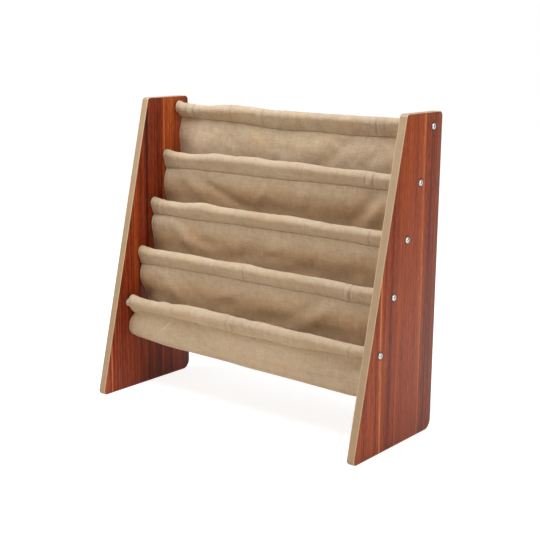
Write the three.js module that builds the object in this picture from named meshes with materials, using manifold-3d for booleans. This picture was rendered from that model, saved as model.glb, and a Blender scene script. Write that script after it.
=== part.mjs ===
// A child's sling bookshelf: two sloping side panels, five steel rods bolted between them, and a
// canvas sling sewn into five sleeves and four pockets. Millimetres, +Z up, the front faces -Y.
// The origin lies on the floor, in the middle of the width and of the depth.
import * as THREE from 'three';
import { mergeVertices } from 'three/addons/utils/BufferGeometryUtils.js';
import Module from 'manifold-3d';

// Side panels, seen from the side: upright rear edge, sloping front edge, four rounded corners
const rackWidth = 615;
const panelHeight = 586;
const footDepth = 256;
const topDepth = 118;
const panelThickness = 15;
const edgeBandThickness = 1;
const footFrontRadius = 8;
const footRearRadius = 18;
const topRearRadius = 9;
const topFrontRadius = 7;

// Rods: steel tubes in a straight row that runs down and forward
const rodCount = 5;
const rodDiameter = 16;
const rodWall = 1.2;
const topRodBelowTop = 25;
const topRodFromRear = 30;
const lowRodAboveFoot = 179;
const lowRodFromFront = 32.6;

// Threaded plugs in the rod ends, and the bolts that come in through the panels
const plugLength = 20;
const plugChamfer = 0.8;
const boltDiameter = 6;
const boltReach = 30;
const boltTipChamfer = 0.8;
const boltHeadDiameter = 13;
const boltHeadThickness = 2.4;
const boltHeadRimHeight = 1.1;
const boltHeadRimSlope = 1.4;
const socketAcrossFlats = 4;
const socketDepth = 3;

// Canvas: hangs are measured down from a rod's axis
const clothThickness = 1.2;
const clothEndGap = 12;
const sleeveHang = 19;
const seamAllowance = 2;
const sleeveWaveHeight = 1.2;
const sleeveWavePitch = 150;
const sleeveFlare = 3.5;
const sleeveFlareLength = 16;
const pocketHang = 84;
const pocketFoldDepth = 4;
const pocketFoldPitch = 190;
const pocketSideDraw = 9;
const pocketFloorWave = 1.5;

// Free space between pieces that touch
const clearance = 0.3;

// Counts that set how finely round and waved shapes are cut
const cornerSteps = 6;
const boreSteps = 20;
const rodSteps = 24;
const plugSteps = 18;
const boltSteps = 20;
const sleeveArcSteps = 8;
const clothStations = 16;
const frontWallSteps = 3;
const backWallSteps = 6;
const pocketFloorSteps = 6;

// Where the waves of each sleeve and pocket begin, as shares of a wave
const sleeveWaveStartShares = [0.15, 0.62, 0.35, 0.8, 0.05];
const pocketFoldStartShares = [0.3, 0.75, 0.1, 0.55];
const pocketFoldLeanShare = 0.25;

// Places that follow from the sizes. The rounded front corner ends a little behind the sharp corner
// that footDepth is measured to, and the origin is halfway between the rounded corner and the rear.
const innerFaceX = rackWidth / 2 - panelThickness;
const outerFaceX = rackWidth / 2;
const frontSlope = Math.atan((footDepth - topDepth) / panelHeight);
const cornerSetback = footFrontRadius * (Math.cos(frontSlope) / (1 - Math.sin(frontSlope)) - 1);
const rearY = (footDepth - cornerSetback) / 2;
const frontFootY = rearY - footDepth;
const frontTopY = rearY - topDepth;
const plyOffset = (clearance + clothThickness) / 2;
const seamHang = sleeveHang + seamAllowance + clearance;
const clothHalfWidth = innerFaceX - clothEndGap;

const frontEdgeY = (height) => frontFootY + (frontTopY - frontFootY) * (height / panelHeight);

const topRod = new THREE.Vector2(rearY - topRodFromRear, panelHeight - topRodBelowTop);
const lowRod = new THREE.Vector2(frontEdgeY(lowRodAboveFoot) + lowRodFromFront, lowRodAboveFoot);
const rodAxes = [];
for (let n = 0; n < rodCount; n += 1) {
  rodAxes.push(topRod.clone().lerp(lowRod, n / (rodCount - 1)));
}

const boardWood = new THREE.MeshStandardMaterial({ color: 0x8c4430, roughness: 0.45, metalness: 0 });
const bandPlastic = new THREE.MeshStandardMaterial({ color: 0xb89c76, roughness: 0.55, metalness: 0 });
const coatedSteel = new THREE.MeshStandardMaterial({ color: 0xc9c5be, roughness: 0.4, metalness: 0.3 });
const platedSteel = new THREE.MeshStandardMaterial({ color: 0xc8cccf, roughness: 0.3, metalness: 1 });
const plugSteel = new THREE.MeshStandardMaterial({ color: 0xa9a48f, roughness: 0.4, metalness: 1 });
const canvas = new THREE.MeshStandardMaterial({ color: 0xb7a07f, roughness: 0.95, metalness: 0 });

// One panel outline, drawn in the Y-Z plane and moved inwards by inset. Each corner arc keeps the
// centre of the outermost arc, so that nested outlines stay parallel all the way round.
function panelOutline(inset) {
  const corners = [
    { at: new THREE.Vector2(frontFootY, 0), radius: footFrontRadius },
    { at: new THREE.Vector2(rearY, 0), radius: footRearRadius },
    { at: new THREE.Vector2(rearY, panelHeight), radius: topRearRadius },
    { at: new THREE.Vector2(frontTopY, panelHeight), radius: topFrontRadius },
  ];
  const outwardNormal = (n) => {
    const from = corners[n % corners.length].at;
    const to = corners[(n + 1) % corners.length].at;
    const along = to.clone().sub(from).normalize();
    return new THREE.Vector2(along.y, -along.x);
  };
  const points = [];
  corners.forEach((corner, n) => {
    const before = outwardNormal(n + corners.length - 1);
    const after = outwardNormal(n);
    const inwards = before.clone().add(after).divideScalar(1 + before.dot(after));
    const centre = corner.at.clone().addScaledVector(inwards, -corner.radius);
    const arcRadius = Math.max(corner.radius - inset, clearance);
    const turn = Math.acos(THREE.MathUtils.clamp(before.dot(after), -1, 1));
    for (let step = 0; step <= cornerSteps; step += 1) {
      const angle = before.angle() + turn * (step / cornerSteps);
      const reach = new THREE.Vector2(Math.cos(angle), Math.sin(angle)).multiplyScalar(arcRadius);
      points.push(centre.clone().add(reach));
    }
  });
  return points;
}

function circlePoints(centre, radius, steps) {
  const points = [];
  for (let step = 0; step < steps; step += 1) {
    const angle = 2 * Math.PI * (step / steps);
    points.push(new THREE.Vector2(centre.x + radius * Math.cos(angle), centre.y + radius * Math.sin(angle)));
  }
  return points;
}

// Extrudes a Y-Z outline along X by the panel's thickness, centred on X = 0
function slab(shape) {
  const geometry = new THREE.ExtrudeGeometry(shape, { depth: panelThickness, bevelEnabled: false });
  const axisX = new THREE.Vector3(1, 0, 0);
  const axisY = new THREE.Vector3(0, 1, 0);
  const axisZ = new THREE.Vector3(0, 0, 1);
  geometry.applyMatrix4(new THREE.Matrix4().makeBasis(axisY, axisZ, axisX));
  geometry.translate(-panelThickness / 2, 0, 0);
  return geometry;
}

function boardGeometry() {
  const shape = new THREE.Shape(panelOutline(edgeBandThickness + clearance));
  for (const axis of rodAxes) {
    shape.holes.push(new THREE.Path(circlePoints(axis, boltDiameter / 2 + clearance, boreSteps)));
  }
  return slab(shape);
}

function edgeBandGeometry() {
  const shape = new THREE.Shape(panelOutline(0));
  shape.holes.push(new THREE.Path(panelOutline(edgeBandThickness)));
  return slab(shape);
}

// A profile of [radius, place along the axis] pairs, turned about X
function turned(profile, steps) {
  const points = profile.map(([radius, along]) => new THREE.Vector2(radius, along));
  const geometry = new THREE.LatheGeometry(points, steps);
  geometry.rotateZ(-Math.PI / 2);
  return geometry;
}

function rodGeometry() {
  const outer = rodDiameter / 2;
  const inner = outer - rodWall;
  const end = innerFaceX - clearance;
  return turned([[inner, -end], [outer, -end], [outer, end], [inner, end], [inner, -end]], rodSteps);
}

// The plug sits flush with the rod's end at X = 0 and reaches into the rod towards +X
function plugGeometry() {
  const outer = rodDiameter / 2 - rodWall - clearance;
  const bore = boltDiameter / 2 + clearance;
  const profile = [
    [bore, 0],
    [outer, 0],
    [outer, plugLength - plugChamfer],
    [outer - plugChamfer, plugLength],
    [bore, plugLength],
    [bore, 0],
  ];
  return turned(profile, plugSteps);
}

const manifoldLibrary = await Module();
manifoldLibrary.setup();

function toManifold(geometry) {
  const bare = geometry.clone();
  bare.deleteAttribute('normal');
  bare.deleteAttribute('uv');
  const merged = mergeVertices(bare);
  return new manifoldLibrary.Manifold(new manifoldLibrary.Mesh({
    numProp: 3,
    vertProperties: new Float32Array(merged.attributes.position.array),
    triVerts: new Uint32Array(merged.index.array),
  }));
}

function fromManifold(solid) {
  const mesh = solid.getMesh();
  const geometry = new THREE.BufferGeometry();
  geometry.setAttribute('position', new THREE.BufferAttribute(new Float32Array(mesh.vertProperties), 3));
  geometry.setIndex(new THREE.BufferAttribute(new Uint32Array(mesh.triVerts), 1));
  geometry.computeVertexNormals();
  return geometry;
}

// A bolt with its head's underside at X = 0, its head towards +X and a hexagon socket in the head
function boltGeometry() {
  const shank = boltDiameter / 2;
  const head = boltHeadDiameter / 2;
  const profile = [
    [0, -boltReach],
    [shank - boltTipChamfer, -boltReach],
    [shank, boltTipChamfer - boltReach],
    [shank, 0],
    [head, 0],
    [head, boltHeadRimHeight],
    [head - boltHeadRimSlope, boltHeadThickness],
    [0, boltHeadThickness],
  ];
  const socketRadius = socketAcrossFlats / 2 / Math.cos(Math.PI / 6);
  const overrun = clearance;
  const socket = new THREE.CylinderGeometry(socketRadius, socketRadius, socketDepth + overrun, 6);
  socket.rotateZ(-Math.PI / 2);
  socket.translate(boltHeadThickness + (overrun - socketDepth) / 2, 0, 0);
  return fromManifold(toManifold(turned(profile, boltSteps)).subtract(toManifold(socket)));
}

// Makes a solid of a sheet of cloth. Every station along the width holds the outer and the inner
// line of its cross-section, both running anticlockwise seen from +X. A loop closes on itself.
function sheetSolid(stations, isLoop) {
  const lineCount = stations[0].outer.length;
  const positions = [];
  for (const station of stations) {
    for (const point of [...station.outer, ...station.inner]) {
      positions.push(point.x, point.y, point.z);
    }
  }
  const index = [];
  const outerAt = (i, j) => i * 2 * lineCount + (j % lineCount);
  const innerAt = (i, j) => outerAt(i, j) + lineCount;
  const quad = (a, b, c, d) => index.push(a, b, c, a, c, d);
  const last = stations.length - 1;
  const segments = isLoop ? lineCount : lineCount - 1;
  for (let j = 0; j < segments; j += 1) {
    for (let i = 0; i < last; i += 1) {
      quad(outerAt(i, j), outerAt(i, j + 1), outerAt(i + 1, j + 1), outerAt(i + 1, j));
      quad(innerAt(i, j), innerAt(i + 1, j), innerAt(i + 1, j + 1), innerAt(i, j + 1));
    }
    quad(innerAt(0, j), innerAt(0, j + 1), outerAt(0, j + 1), outerAt(0, j));
    quad(outerAt(last, j), outerAt(last, j + 1), innerAt(last, j + 1), innerAt(last, j));
  }
  for (let i = 0; i < last && !isLoop; i += 1) {
    const end = lineCount - 1;
    quad(outerAt(i, 0), outerAt(i + 1, 0), innerAt(i + 1, 0), innerAt(i, 0));
    quad(innerAt(i, end), innerAt(i + 1, end), outerAt(i + 1, end), outerAt(i, end));
  }
  const geometry = new THREE.BufferGeometry();
  geometry.setAttribute('position', new THREE.Float32BufferAttribute(positions, 3));
  geometry.setIndex(index);
  geometry.computeVertexNormals();
  return geometry;
}

const wave = (x, pitch, startShare) => (1 + Math.sin(2 * Math.PI * (x / pitch + startShare))) / 2;
const easeIn = (share) => THREE.MathUtils.smoothstep(share, 0, 1);
const stationX = (station) => clothHalfWidth * (2 * (station / clothStations) - 1);

// A drop shape about a rod's axis: an arc over the rod whose two tangents meet at a narrow tail
function teardrop(radius, tailHalfWidth, tailHang) {
  const toTail = Math.hypot(tailHalfWidth, tailHang);
  const tangentAngle = Math.atan2(-tailHang, tailHalfWidth) + Math.acos(radius / toTail);
  const points = [new THREE.Vector2(tailHalfWidth, -tailHang)];
  for (let step = 0; step <= sleeveArcSteps; step += 1) {
    const angle = tangentAngle + (Math.PI - 2 * tangentAngle) * (step / sleeveArcSteps);
    points.push(new THREE.Vector2(radius * Math.cos(angle), radius * Math.sin(angle)));
  }
  points.push(new THREE.Vector2(-tailHalfWidth, -tailHang));
  return points;
}

// A sleeve lies loosely over its rod, lifts off it in low waves and opens a little at both ends
function sleeveGeometry(n) {
  const axis = rodAxes[n];
  const stations = [];
  for (let i = 0; i <= clothStations; i += 1) {
    const x = stationX(i);
    const intoFlare = Math.abs(x) - (clothHalfWidth - sleeveFlareLength);
    const flare = sleeveFlare * easeIn(intoFlare / sleeveFlareLength);
    const lift = sleeveWaveHeight * wave(x, sleeveWavePitch, sleeveWaveStartShares[n]) + flare;
    const innerRadius = rodDiameter / 2 + clearance + lift;
    const place = (point) => new THREE.Vector3(x, axis.x + point.x, axis.y + point.y);
    const tailHalfWidth = clearance / 2 + clothThickness;
    const outer = teardrop(innerRadius + clothThickness, tailHalfWidth, sleeveHang + seamAllowance);
    const inner = teardrop(innerRadius, clearance / 2, sleeveHang);
    stations.push({ outer: outer.map(place), inner: inner.map(place) });
  }
  return sheetSolid(stations, true);
}

// The middle line of a pocket at one station, from the front wall's top round its floor and up to
// the back wall's top. Each point has its outward normal and its way down from the seam, 0 to 1.
function pocketLine(n, x) {
  const frontAxis = rodAxes[n + 1];
  const backAxis = rodAxes[n];
  const startShare = pocketFoldStartShares[n];
  const frontTop = new THREE.Vector2(frontAxis.x + plyOffset, frontAxis.y - seamHang);
  const backTop = new THREE.Vector2(backAxis.x - plyOffset, backAxis.y - seamHang);
  const frontFold = pocketFoldDepth * wave(x, pocketFoldPitch, startShare);
  const backFold = (way) => pocketFoldDepth
    * wave(x, pocketFoldPitch, 1 - startShare + way * pocketFoldLeanShare);
  const frontLowY = frontTop.x + frontFold;
  const backLowY = backTop.x - backFold(1);
  const floorRadius = (backLowY - frontLowY) / 2;
  const floorZ = frontAxis.y - pocketHang + clothThickness / 2
    + pocketFloorWave * wave(x, pocketFoldPitch, startShare / 2);
  const centre = new THREE.Vector2((backLowY + frontLowY) / 2, floorZ + floorRadius);
  const line = [];
  for (let step = 0; step < frontWallSteps; step += 1) {
    const way = step / frontWallSteps;
    const z = THREE.MathUtils.lerp(frontTop.y, centre.y, way);
    line.push({ at: new THREE.Vector2(frontTop.x + frontFold * easeIn(way), z), way });
  }
  for (let step = 0; step <= pocketFloorSteps; step += 1) {
    const angle = Math.PI * (1 + step / pocketFloorSteps);
    const reach = new THREE.Vector2(Math.cos(angle), Math.sin(angle)).multiplyScalar(floorRadius);
    line.push({ at: centre.clone().add(reach), way: 1 });
  }
  for (let step = backWallSteps - 1; step >= 0; step -= 1) {
    const way = step / backWallSteps;
    const z = THREE.MathUtils.lerp(backTop.y, centre.y, way);
    line.push({ at: new THREE.Vector2(backTop.x - backFold(way) * easeIn(way), z), way });
  }
  line.forEach((point, i) => {
    const before = line[Math.max(i - 1, 0)].at;
    const after = line[Math.min(i + 1, line.length - 1)].at;
    const along = after.clone().sub(before).normalize();
    point.outward = new THREE.Vector2(along.y, -along.x);
  });
  line[0].outward.set(-1, 0);
  line[line.length - 1].outward.set(1, 0);
  return line;
}

// A pocket is one open sheet. Its side edges draw in towards the floor, and its walls hold soft folds.
function pocketGeometry(n) {
  const stations = [];
  for (let i = 0; i <= clothStations; i += 1) {
    const x = stationX(i);
    const line = pocketLine(n, x);
    const skin = (offset) => line.map(({ at, way, outward }) => new THREE.Vector3(
      x - (x / clothHalfWidth) * pocketSideDraw * easeIn(way),
      at.x + offset * outward.x,
      at.y + offset * outward.y,
    ));
    stations.push({ outer: skin(clothThickness / 2), inner: skin(-clothThickness / 2) });
  }
  return sheetSolid(stations, false);
}

function piece(name, geometry, material) {
  const mesh = new THREE.Mesh(geometry, material);
  mesh.name = name;
  return mesh;
}

// One side of the rack: its board and edge band, and at each rod a bolt and a plug.
// The left side is the right side's parts set on the other side of the middle.
const board = boardGeometry();
const edgeBand = edgeBandGeometry();
const plug = plugGeometry();
const bolt = boltGeometry();

function rackSide(sideName, direction) {
  const side = new THREE.Group();
  const panelX = direction * (outerFaceX - panelThickness / 2);
  const boardPiece = piece(`board_${sideName}`, board, boardWood);
  const bandPiece = piece(`edge_band_${sideName}`, edgeBand, bandPlastic);
  boardPiece.position.x = panelX;
  bandPiece.position.x = panelX;
  side.add(boardPiece, bandPiece);
  rodAxes.forEach((axis, n) => {
    const plugPiece = piece(`plug_${sideName}_${n + 1}`, plug, plugSteel);
    plugPiece.position.set(direction * (innerFaceX - clearance), axis.x, axis.y);
    plugPiece.rotation.z = direction > 0 ? Math.PI : 0;
    const boltPiece = piece(`bolt_${sideName}_${n + 1}`, bolt, platedSteel);
    boltPiece.position.set(direction * (outerFaceX + clearance), axis.x, axis.y);
    boltPiece.rotation.z = direction > 0 ? 0 : Math.PI;
    side.add(plugPiece, boltPiece);
  });
  return side;
}

function rods() {
  const group = new THREE.Group();
  const tube = rodGeometry();
  rodAxes.forEach((axis, n) => {
    const rod = piece(`rod_${n + 1}`, tube, coatedSteel);
    rod.position.set(0, axis.x, axis.y);
    group.add(rod);
  });
  return group;
}

function sling() {
  const group = new THREE.Group();
  for (let n = 0; n < rodCount; n += 1) {
    group.add(piece(`sleeve_${n + 1}`, sleeveGeometry(n), canvas));
  }
  for (let n = 0; n < rodCount - 1; n += 1) {
    group.add(piece(`pocket_${n + 1}`, pocketGeometry(n), canvas));
  }
  return group;
}

const rack = new THREE.Group();
rack.name = 'sling_bookshelf';
rack.add(rackSide('left', -1), rackSide('right', 1), rods(), sling());

export default rack;
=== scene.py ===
# %% [markdown]
# This lesson dresses a child's sling bookshelf. The imported model says where everything is: two
# sloping side panels, five rods bolted between them, and a canvas sling sewn into sleeves and
# pockets. The lesson sets up the view, mixes the finishes, and then makes the panels, the metal
# parts and the canvas around that frame. The frame is loaded first.

# %% Load the frame
import math

import bmesh
import bpy
import numpy as np
from mathutils import Matrix, Vector, noise


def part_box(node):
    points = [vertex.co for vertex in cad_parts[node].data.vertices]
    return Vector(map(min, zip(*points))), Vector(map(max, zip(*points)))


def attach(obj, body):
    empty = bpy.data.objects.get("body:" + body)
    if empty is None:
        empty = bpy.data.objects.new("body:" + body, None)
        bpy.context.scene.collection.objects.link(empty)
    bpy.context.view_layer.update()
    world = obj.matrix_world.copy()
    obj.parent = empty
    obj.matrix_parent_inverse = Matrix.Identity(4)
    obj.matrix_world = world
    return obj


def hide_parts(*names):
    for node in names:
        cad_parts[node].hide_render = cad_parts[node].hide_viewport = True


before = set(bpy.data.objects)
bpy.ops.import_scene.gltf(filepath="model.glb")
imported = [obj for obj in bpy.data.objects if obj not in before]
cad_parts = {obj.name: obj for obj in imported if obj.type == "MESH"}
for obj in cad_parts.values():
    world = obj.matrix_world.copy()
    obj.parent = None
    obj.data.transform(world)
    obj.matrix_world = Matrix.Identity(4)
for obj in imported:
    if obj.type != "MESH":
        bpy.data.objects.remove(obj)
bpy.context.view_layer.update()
bpy.ops.object.select_all(action="DESELECT")
print("nodes in the frame:", len(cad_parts))

# %% [markdown]
# Sizes come from the frame wherever it has them, so that no piece is placed by eye. The rods'
# axes are the middles of their boxes, and the right-hand board gives the planes of both panels,
# because the bookshelf is the same on both sides. The scene counts in metres, and mm makes sizes
# in millimetres easy to write.

# %% Sizes and places from the frame
mm = 0.001
ROD_COUNT = 5
SIDES = {"left": -1, "right": 1}


def middle_of(node):
    low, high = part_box(node)
    return (low + high) / 2


rod_axes = [middle_of(f"rod_{n}") for n in range(1, ROD_COUNT + 1)]
rod_low, rod_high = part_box("rod_1")
rod_radius = (rod_high.y - rod_low.y) / 2
inner_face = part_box("board_right")[0].x
outer_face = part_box("board_right")[1].x
panel_middle = (inner_face + outer_face) / 2
panel_thickness = outer_face - inner_face
_, band_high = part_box("edge_band_right")
panel_height = band_high.z
rear_y = band_high.y
print("rod axes:", [tuple(round(v / mm, 1) for v in axis) for axis in rod_axes])

# %% [markdown]
# The photograph was taken from the right of the front, a little above the top pocket, with a
# long lens. Azimuth, elevation, roll and distance were fitted to the panels' edges and to the
# bolt heads, so the camera is built from those angles rather than aimed by hand. The lens
# follows from the fitted focal length, which is in pixels of the picture.

# %% The camera
CAMERA_AZIMUTH = math.radians(37.747)
CAMERA_ELEVATION = math.radians(12.141)
CAMERA_ROLL = math.radians(0.596)
CAMERA_DISTANCE = 2138.2 * mm
LOOK_AT = Vector((25.7, 0, 281.2)) * mm
FOCAL_LENGTH_PIXELS = 1140.68
PICTURE_WIDTH_PIXELS = 540
SENSOR_WIDTH = 36

backwards = Vector((
    math.sin(CAMERA_AZIMUTH) * math.cos(CAMERA_ELEVATION),
    -math.cos(CAMERA_AZIMUTH) * math.cos(CAMERA_ELEVATION),
    math.sin(CAMERA_ELEVATION),
))
level_right = Vector((0, 0, 1)).cross(backwards).normalized()
level_up = backwards.cross(level_right)
picture_right = level_right * math.cos(CAMERA_ROLL) + level_up * math.sin(CAMERA_ROLL)
picture_up = level_up * math.cos(CAMERA_ROLL) - level_right * math.sin(CAMERA_ROLL)

bpy.ops.object.camera_add()
camera = bpy.context.object
turned = Matrix((picture_right, picture_up, backwards)).transposed().to_4x4()
camera.matrix_world = Matrix.Translation(LOOK_AT + backwards * CAMERA_DISTANCE) @ turned
camera.data.sensor_width = SENSOR_WIDTH
camera.data.lens = FOCAL_LENGTH_PIXELS / PICTURE_WIDTH_PIXELS * SENSOR_WIDTH
bpy.context.scene.camera = camera
bpy.context.scene.view_settings.view_transform = "Standard"
print("lens:", round(camera.data.lens, 2), "mm")

# %% [markdown]
# Node trees are easier to read as sums than as boxes and wires. Value wraps one output socket,
# and the signs of arithmetic on it add Math nodes. Recipe holds one material or world and has a
# single method, add, for every other kind of node. Colours are given as they look on a screen,
# from 0 to 255, and turned into the linear numbers that shaders work with.

# %% A small language for finishes
def paint(red, green, blue):
    """The shader colour that shows on a screen as these numbers from 0 to 255."""
    shares = [part / 255 for part in (red, green, blue)]
    linear = [part / 12.92 if part <= 0.04045 else ((part + 0.055) / 1.055) ** 2.4 for part in shares]
    return (*linear, 1)


def grey(level):
    """The neutral shader colour of this level, from 0 to 1."""
    return (level, level, level, 1)


class Value:
    """One output socket. Sums and products on it add Math nodes to its recipe."""

    def __init__(self, recipe, socket):
        self.recipe = recipe
        self.socket = socket

    def math(self, operation, *others, clamp=False):
        settings = {"operation": operation, "use_clamp": clamp}
        return self.recipe.add("ShaderNodeMath", settings, dict(enumerate((self, *others))))

    def __add__(self, other):
        return self.math("ADD", other)

    def __sub__(self, other):
        return self.math("SUBTRACT", other)

    def __rsub__(self, other):
        return self.recipe.add("ShaderNodeMath", {"operation": "SUBTRACT"}, {0: other, 1: self})

    def __mul__(self, other):
        return self.math("MULTIPLY", other)

    def __truediv__(self, other):
        return self.math("DIVIDE", other)

    def __rtruediv__(self, other):
        return self.recipe.add("ShaderNodeMath", {"operation": "DIVIDE"}, {0: other, 1: self})

    def __abs__(self):
        return self.math("ABSOLUTE")

    __radd__ = __add__
    __rmul__ = __mul__

    def sine(self):
        return self.math("SINE")

    def clamped(self):
        return self.math("ADD", 0, clamp=True)

    def above(self, edge, softness):
        """0 below the edge and 1 above it, with a soft step between."""
        return ((self - edge) / softness + 0.5).clamped()

    def bell(self, place, width):
        """1 at the place, falling to 0 about one width to either side."""
        away = (self - place) / width
        return 1 / (1 + away * away * away * away)


class Recipe:
    """The node tree of one finish."""

    def __init__(self, holder):
        self.holder = holder
        holder.use_nodes = True
        self.tree = holder.node_tree

    def add(self, kind, settings=None, inputs=None, output=0):
        """Makes a node, sets it up, fills its sockets, and hands back one of its outputs."""
        node = self.tree.nodes.new(kind)
        for name, setting in (settings or {}).items():
            if name == "stops":
                self.set_stops(node.color_ramp, setting)
            else:
                setattr(node, name, setting)
        for key, value in (inputs or {}).items():
            self.fill(node.inputs[key], value)
        return Value(self, node.outputs[output])

    def fill(self, socket, value):
        if isinstance(value, Value):
            self.tree.links.new(value.socket, socket)
        else:
            socket.default_value = value

    def set_stops(self, ramp, stops):
        while len(ramp.elements) < len(stops):
            ramp.elements.new(1)
        for element, (position, colour) in zip(ramp.elements, stops):
            element.position = position
            element.color = colour

    def split(self, vector):
        """The X, Y and Z of a vector, as three values."""
        first = self.add("ShaderNodeSeparateXYZ", inputs={0: vector})
        return [Value(self, socket) for socket in first.socket.node.outputs]

    def mix(self, share, one, other, blend="MIX"):
        """Mixes two colours. A Mix node takes them at its sockets 6 and 7, and gives one at 2."""
        settings = {"data_type": "RGBA", "blend_type": blend}
        return self.add("ShaderNodeMix", settings, {0: share, 6: one, 7: other}, output=2)

    def ramp(self, share, stops):
        return self.add("ShaderNodeValToRGB", {"stops": stops}, {0: share})

    def grain(self, vector, stretch, detail=3, roughness=0.5):
        """Soft noise from 0 to 1, stretch gives its features per metre along X, Y and Z."""
        spread = self.add("ShaderNodeMapping", inputs={"Vector": vector, "Scale": stretch})
        inputs = {"Vector": spread, "Scale": 1, "Detail": detail, "Roughness": roughness}
        return self.add("ShaderNodeTexNoise", inputs=inputs)

    def relief(self, height, depth):
        """A normal that rises by depth where height goes from 0 to 1."""
        return self.add("ShaderNodeBump", inputs={"Height": height, "Distance": depth})

    def surface(self, **inputs):
        """Fills the shader's sockets, named with underscores for spaces."""
        shader = self.tree.nodes["Principled BSDF"]
        for name, value in inputs.items():
            self.fill(shader.inputs[name.replace("_", " ")], value)
        return self.holder


def new_finish(name):
    return Recipe(bpy.data.materials.new(name))


print("khaki for a shader:", [round(part, 3) for part in paint(191, 169, 140)])

# %% [markdown]
# The bookshelf stands on a white floor in a white studio. What the camera sees of the floor and
# of the room is white by itself, so that the lamps can stay at the level at which a colour looks
# as it was written. The floor keeps a share of its shading, which lets the soft shadow under the
# panels show. From half a metre off its own glow rises to full white, so that no horizon is seen.
# Metal and laminate mirror a greyer room than the camera sees, which gives the bolt heads their
# dark rims. What the floor and the room throw back at the bookshelf is a little warm.

# %% Floor and room
FLOOR_SIZE = 12
FLOOR_GLOW = 0.865
FLOOR_SHADING = 0.45
FLOOR_BOUNCE = (0.95, 0.86, 0.76, 1)
GLOW_RISES_FROM = 0.5
GLOW_WHITE_FROM = 1.3
ROOM_LIGHT = 0.12
ROOM_TINT = (1.2, 1, 0.72, 1)
MIRRORED_ROOM = 0.58


def seen_share(recipe):
    """1 for rays that show a thing to the camera, and a lower share by way of metal or glass."""
    seen = recipe.add("ShaderNodeLightPath")
    rays = seen.socket.node.outputs
    names = ("Is Camera Ray", "Is Glossy Ray", "Is Transmission Ray")
    camera_ray, glossy_ray, glass_ray = [Value(recipe, rays[name]) for name in names]
    return (camera_ray + (glossy_ray + glass_ray) * MIRRORED_ROOM).clamped()


def white_floor():
    recipe = new_finish("white_floor")
    place = recipe.add("ShaderNodeTexCoord", output="Object")
    length = {"operation": "LENGTH"}
    away = recipe.add("ShaderNodeVectorMath", length, {0: place}, output="Value")
    far_off = ((away - GLOW_RISES_FROM) / (GLOW_WHITE_FROM - GLOW_RISES_FROM)).clamped()
    white = recipe.mix(far_off, grey(FLOOR_GLOW), grey(1))
    glow = recipe.add("ShaderNodeEmission", inputs={"Color": white, "Strength": 1})
    shade = recipe.add("ShaderNodeBsdfDiffuse", inputs={"Color": grey(FLOOR_SHADING)})
    shown = recipe.add("ShaderNodeAddShader", inputs={0: glow, 1: shade})
    bounce = recipe.add("ShaderNodeBsdfDiffuse", inputs={"Color": FLOOR_BOUNCE})
    seen = seen_share(recipe)
    mixed = recipe.add("ShaderNodeMixShader", inputs={0: seen, 1: bounce, 2: shown})
    recipe.fill(recipe.tree.nodes["Material Output"].inputs["Surface"], mixed)
    return recipe.holder


bpy.ops.mesh.primitive_plane_add(size=FLOOR_SIZE)
floor = bpy.context.object
floor.name = "floor"
floor.data.materials.append(white_floor())

room = Recipe(bpy.context.scene.world or bpy.data.worlds.new("room"))
bpy.context.scene.world = room.holder
backdrop = room.tree.nodes["Background"]
seen = seen_share(room)
room.fill(backdrop.inputs["Color"], room.mix(seen, ROOM_TINT, grey(1)))
room.fill(backdrop.inputs["Strength"], seen * (1 - ROOM_LIGHT) + ROOM_LIGHT)
print("floor:", FLOOR_SIZE, "m across, room light:", ROOM_LIGHT)

# %% [markdown]
# The photograph has even studio light: the tops of the sleeves are the brightest cloth, their
# undersides and the bottoms of the pockets are the darkest, and nothing throws a hard shadow.
# A picture of a bright room could light it as softly, but three area lamps are easier to weigh
# against each other. A large one overhead does most of the work, a weak one at the front opens the
# shade, and one on the right lights the outer face of the panel there. In the photograph bright
# cloth is a little cooler than dark cloth, so the overhead lamp is slightly cool, and the front
# lamp, the room and the floor give slightly warm light.

# %% Lamps
LAMPS = {
    "overhead": {
        "at": (-0.35, -0.6, 2.1), "to": (-0.25, -0.5, 0), "size": 1.3, "power": 54,
        "tint": (0.935, 1, 1.095)},
    "front": {
        "at": (-1.2, -2.5, 1.25), "to": (0, 0, 0.3), "size": 0.9, "power": 9.2,
        "tint": (1.05, 1, 0.94)},
    "side": {
        "at": (2.2, 0, 1.2), "to": (0.2, 0, 0.35), "size": 1.2, "power": 19, "tint": (1, 1, 1)},
}
for lamp_name, lamp in LAMPS.items():
    bpy.ops.object.light_add(type="AREA", location=lamp["at"])
    light = bpy.context.object
    light.name = f"lamp_{lamp_name}"
    light.rotation_euler = (Vector(lamp["to"]) - light.location).to_track_quat("-Z", "Y").to_euler()
    light.data.size = lamp["size"]
    light.data.energy = lamp["power"]
    light.data.color = lamp["tint"]
print("lamps:", ", ".join(f"{name} {lamp['power']} W" for name, lamp in LAMPS.items()))
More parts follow.
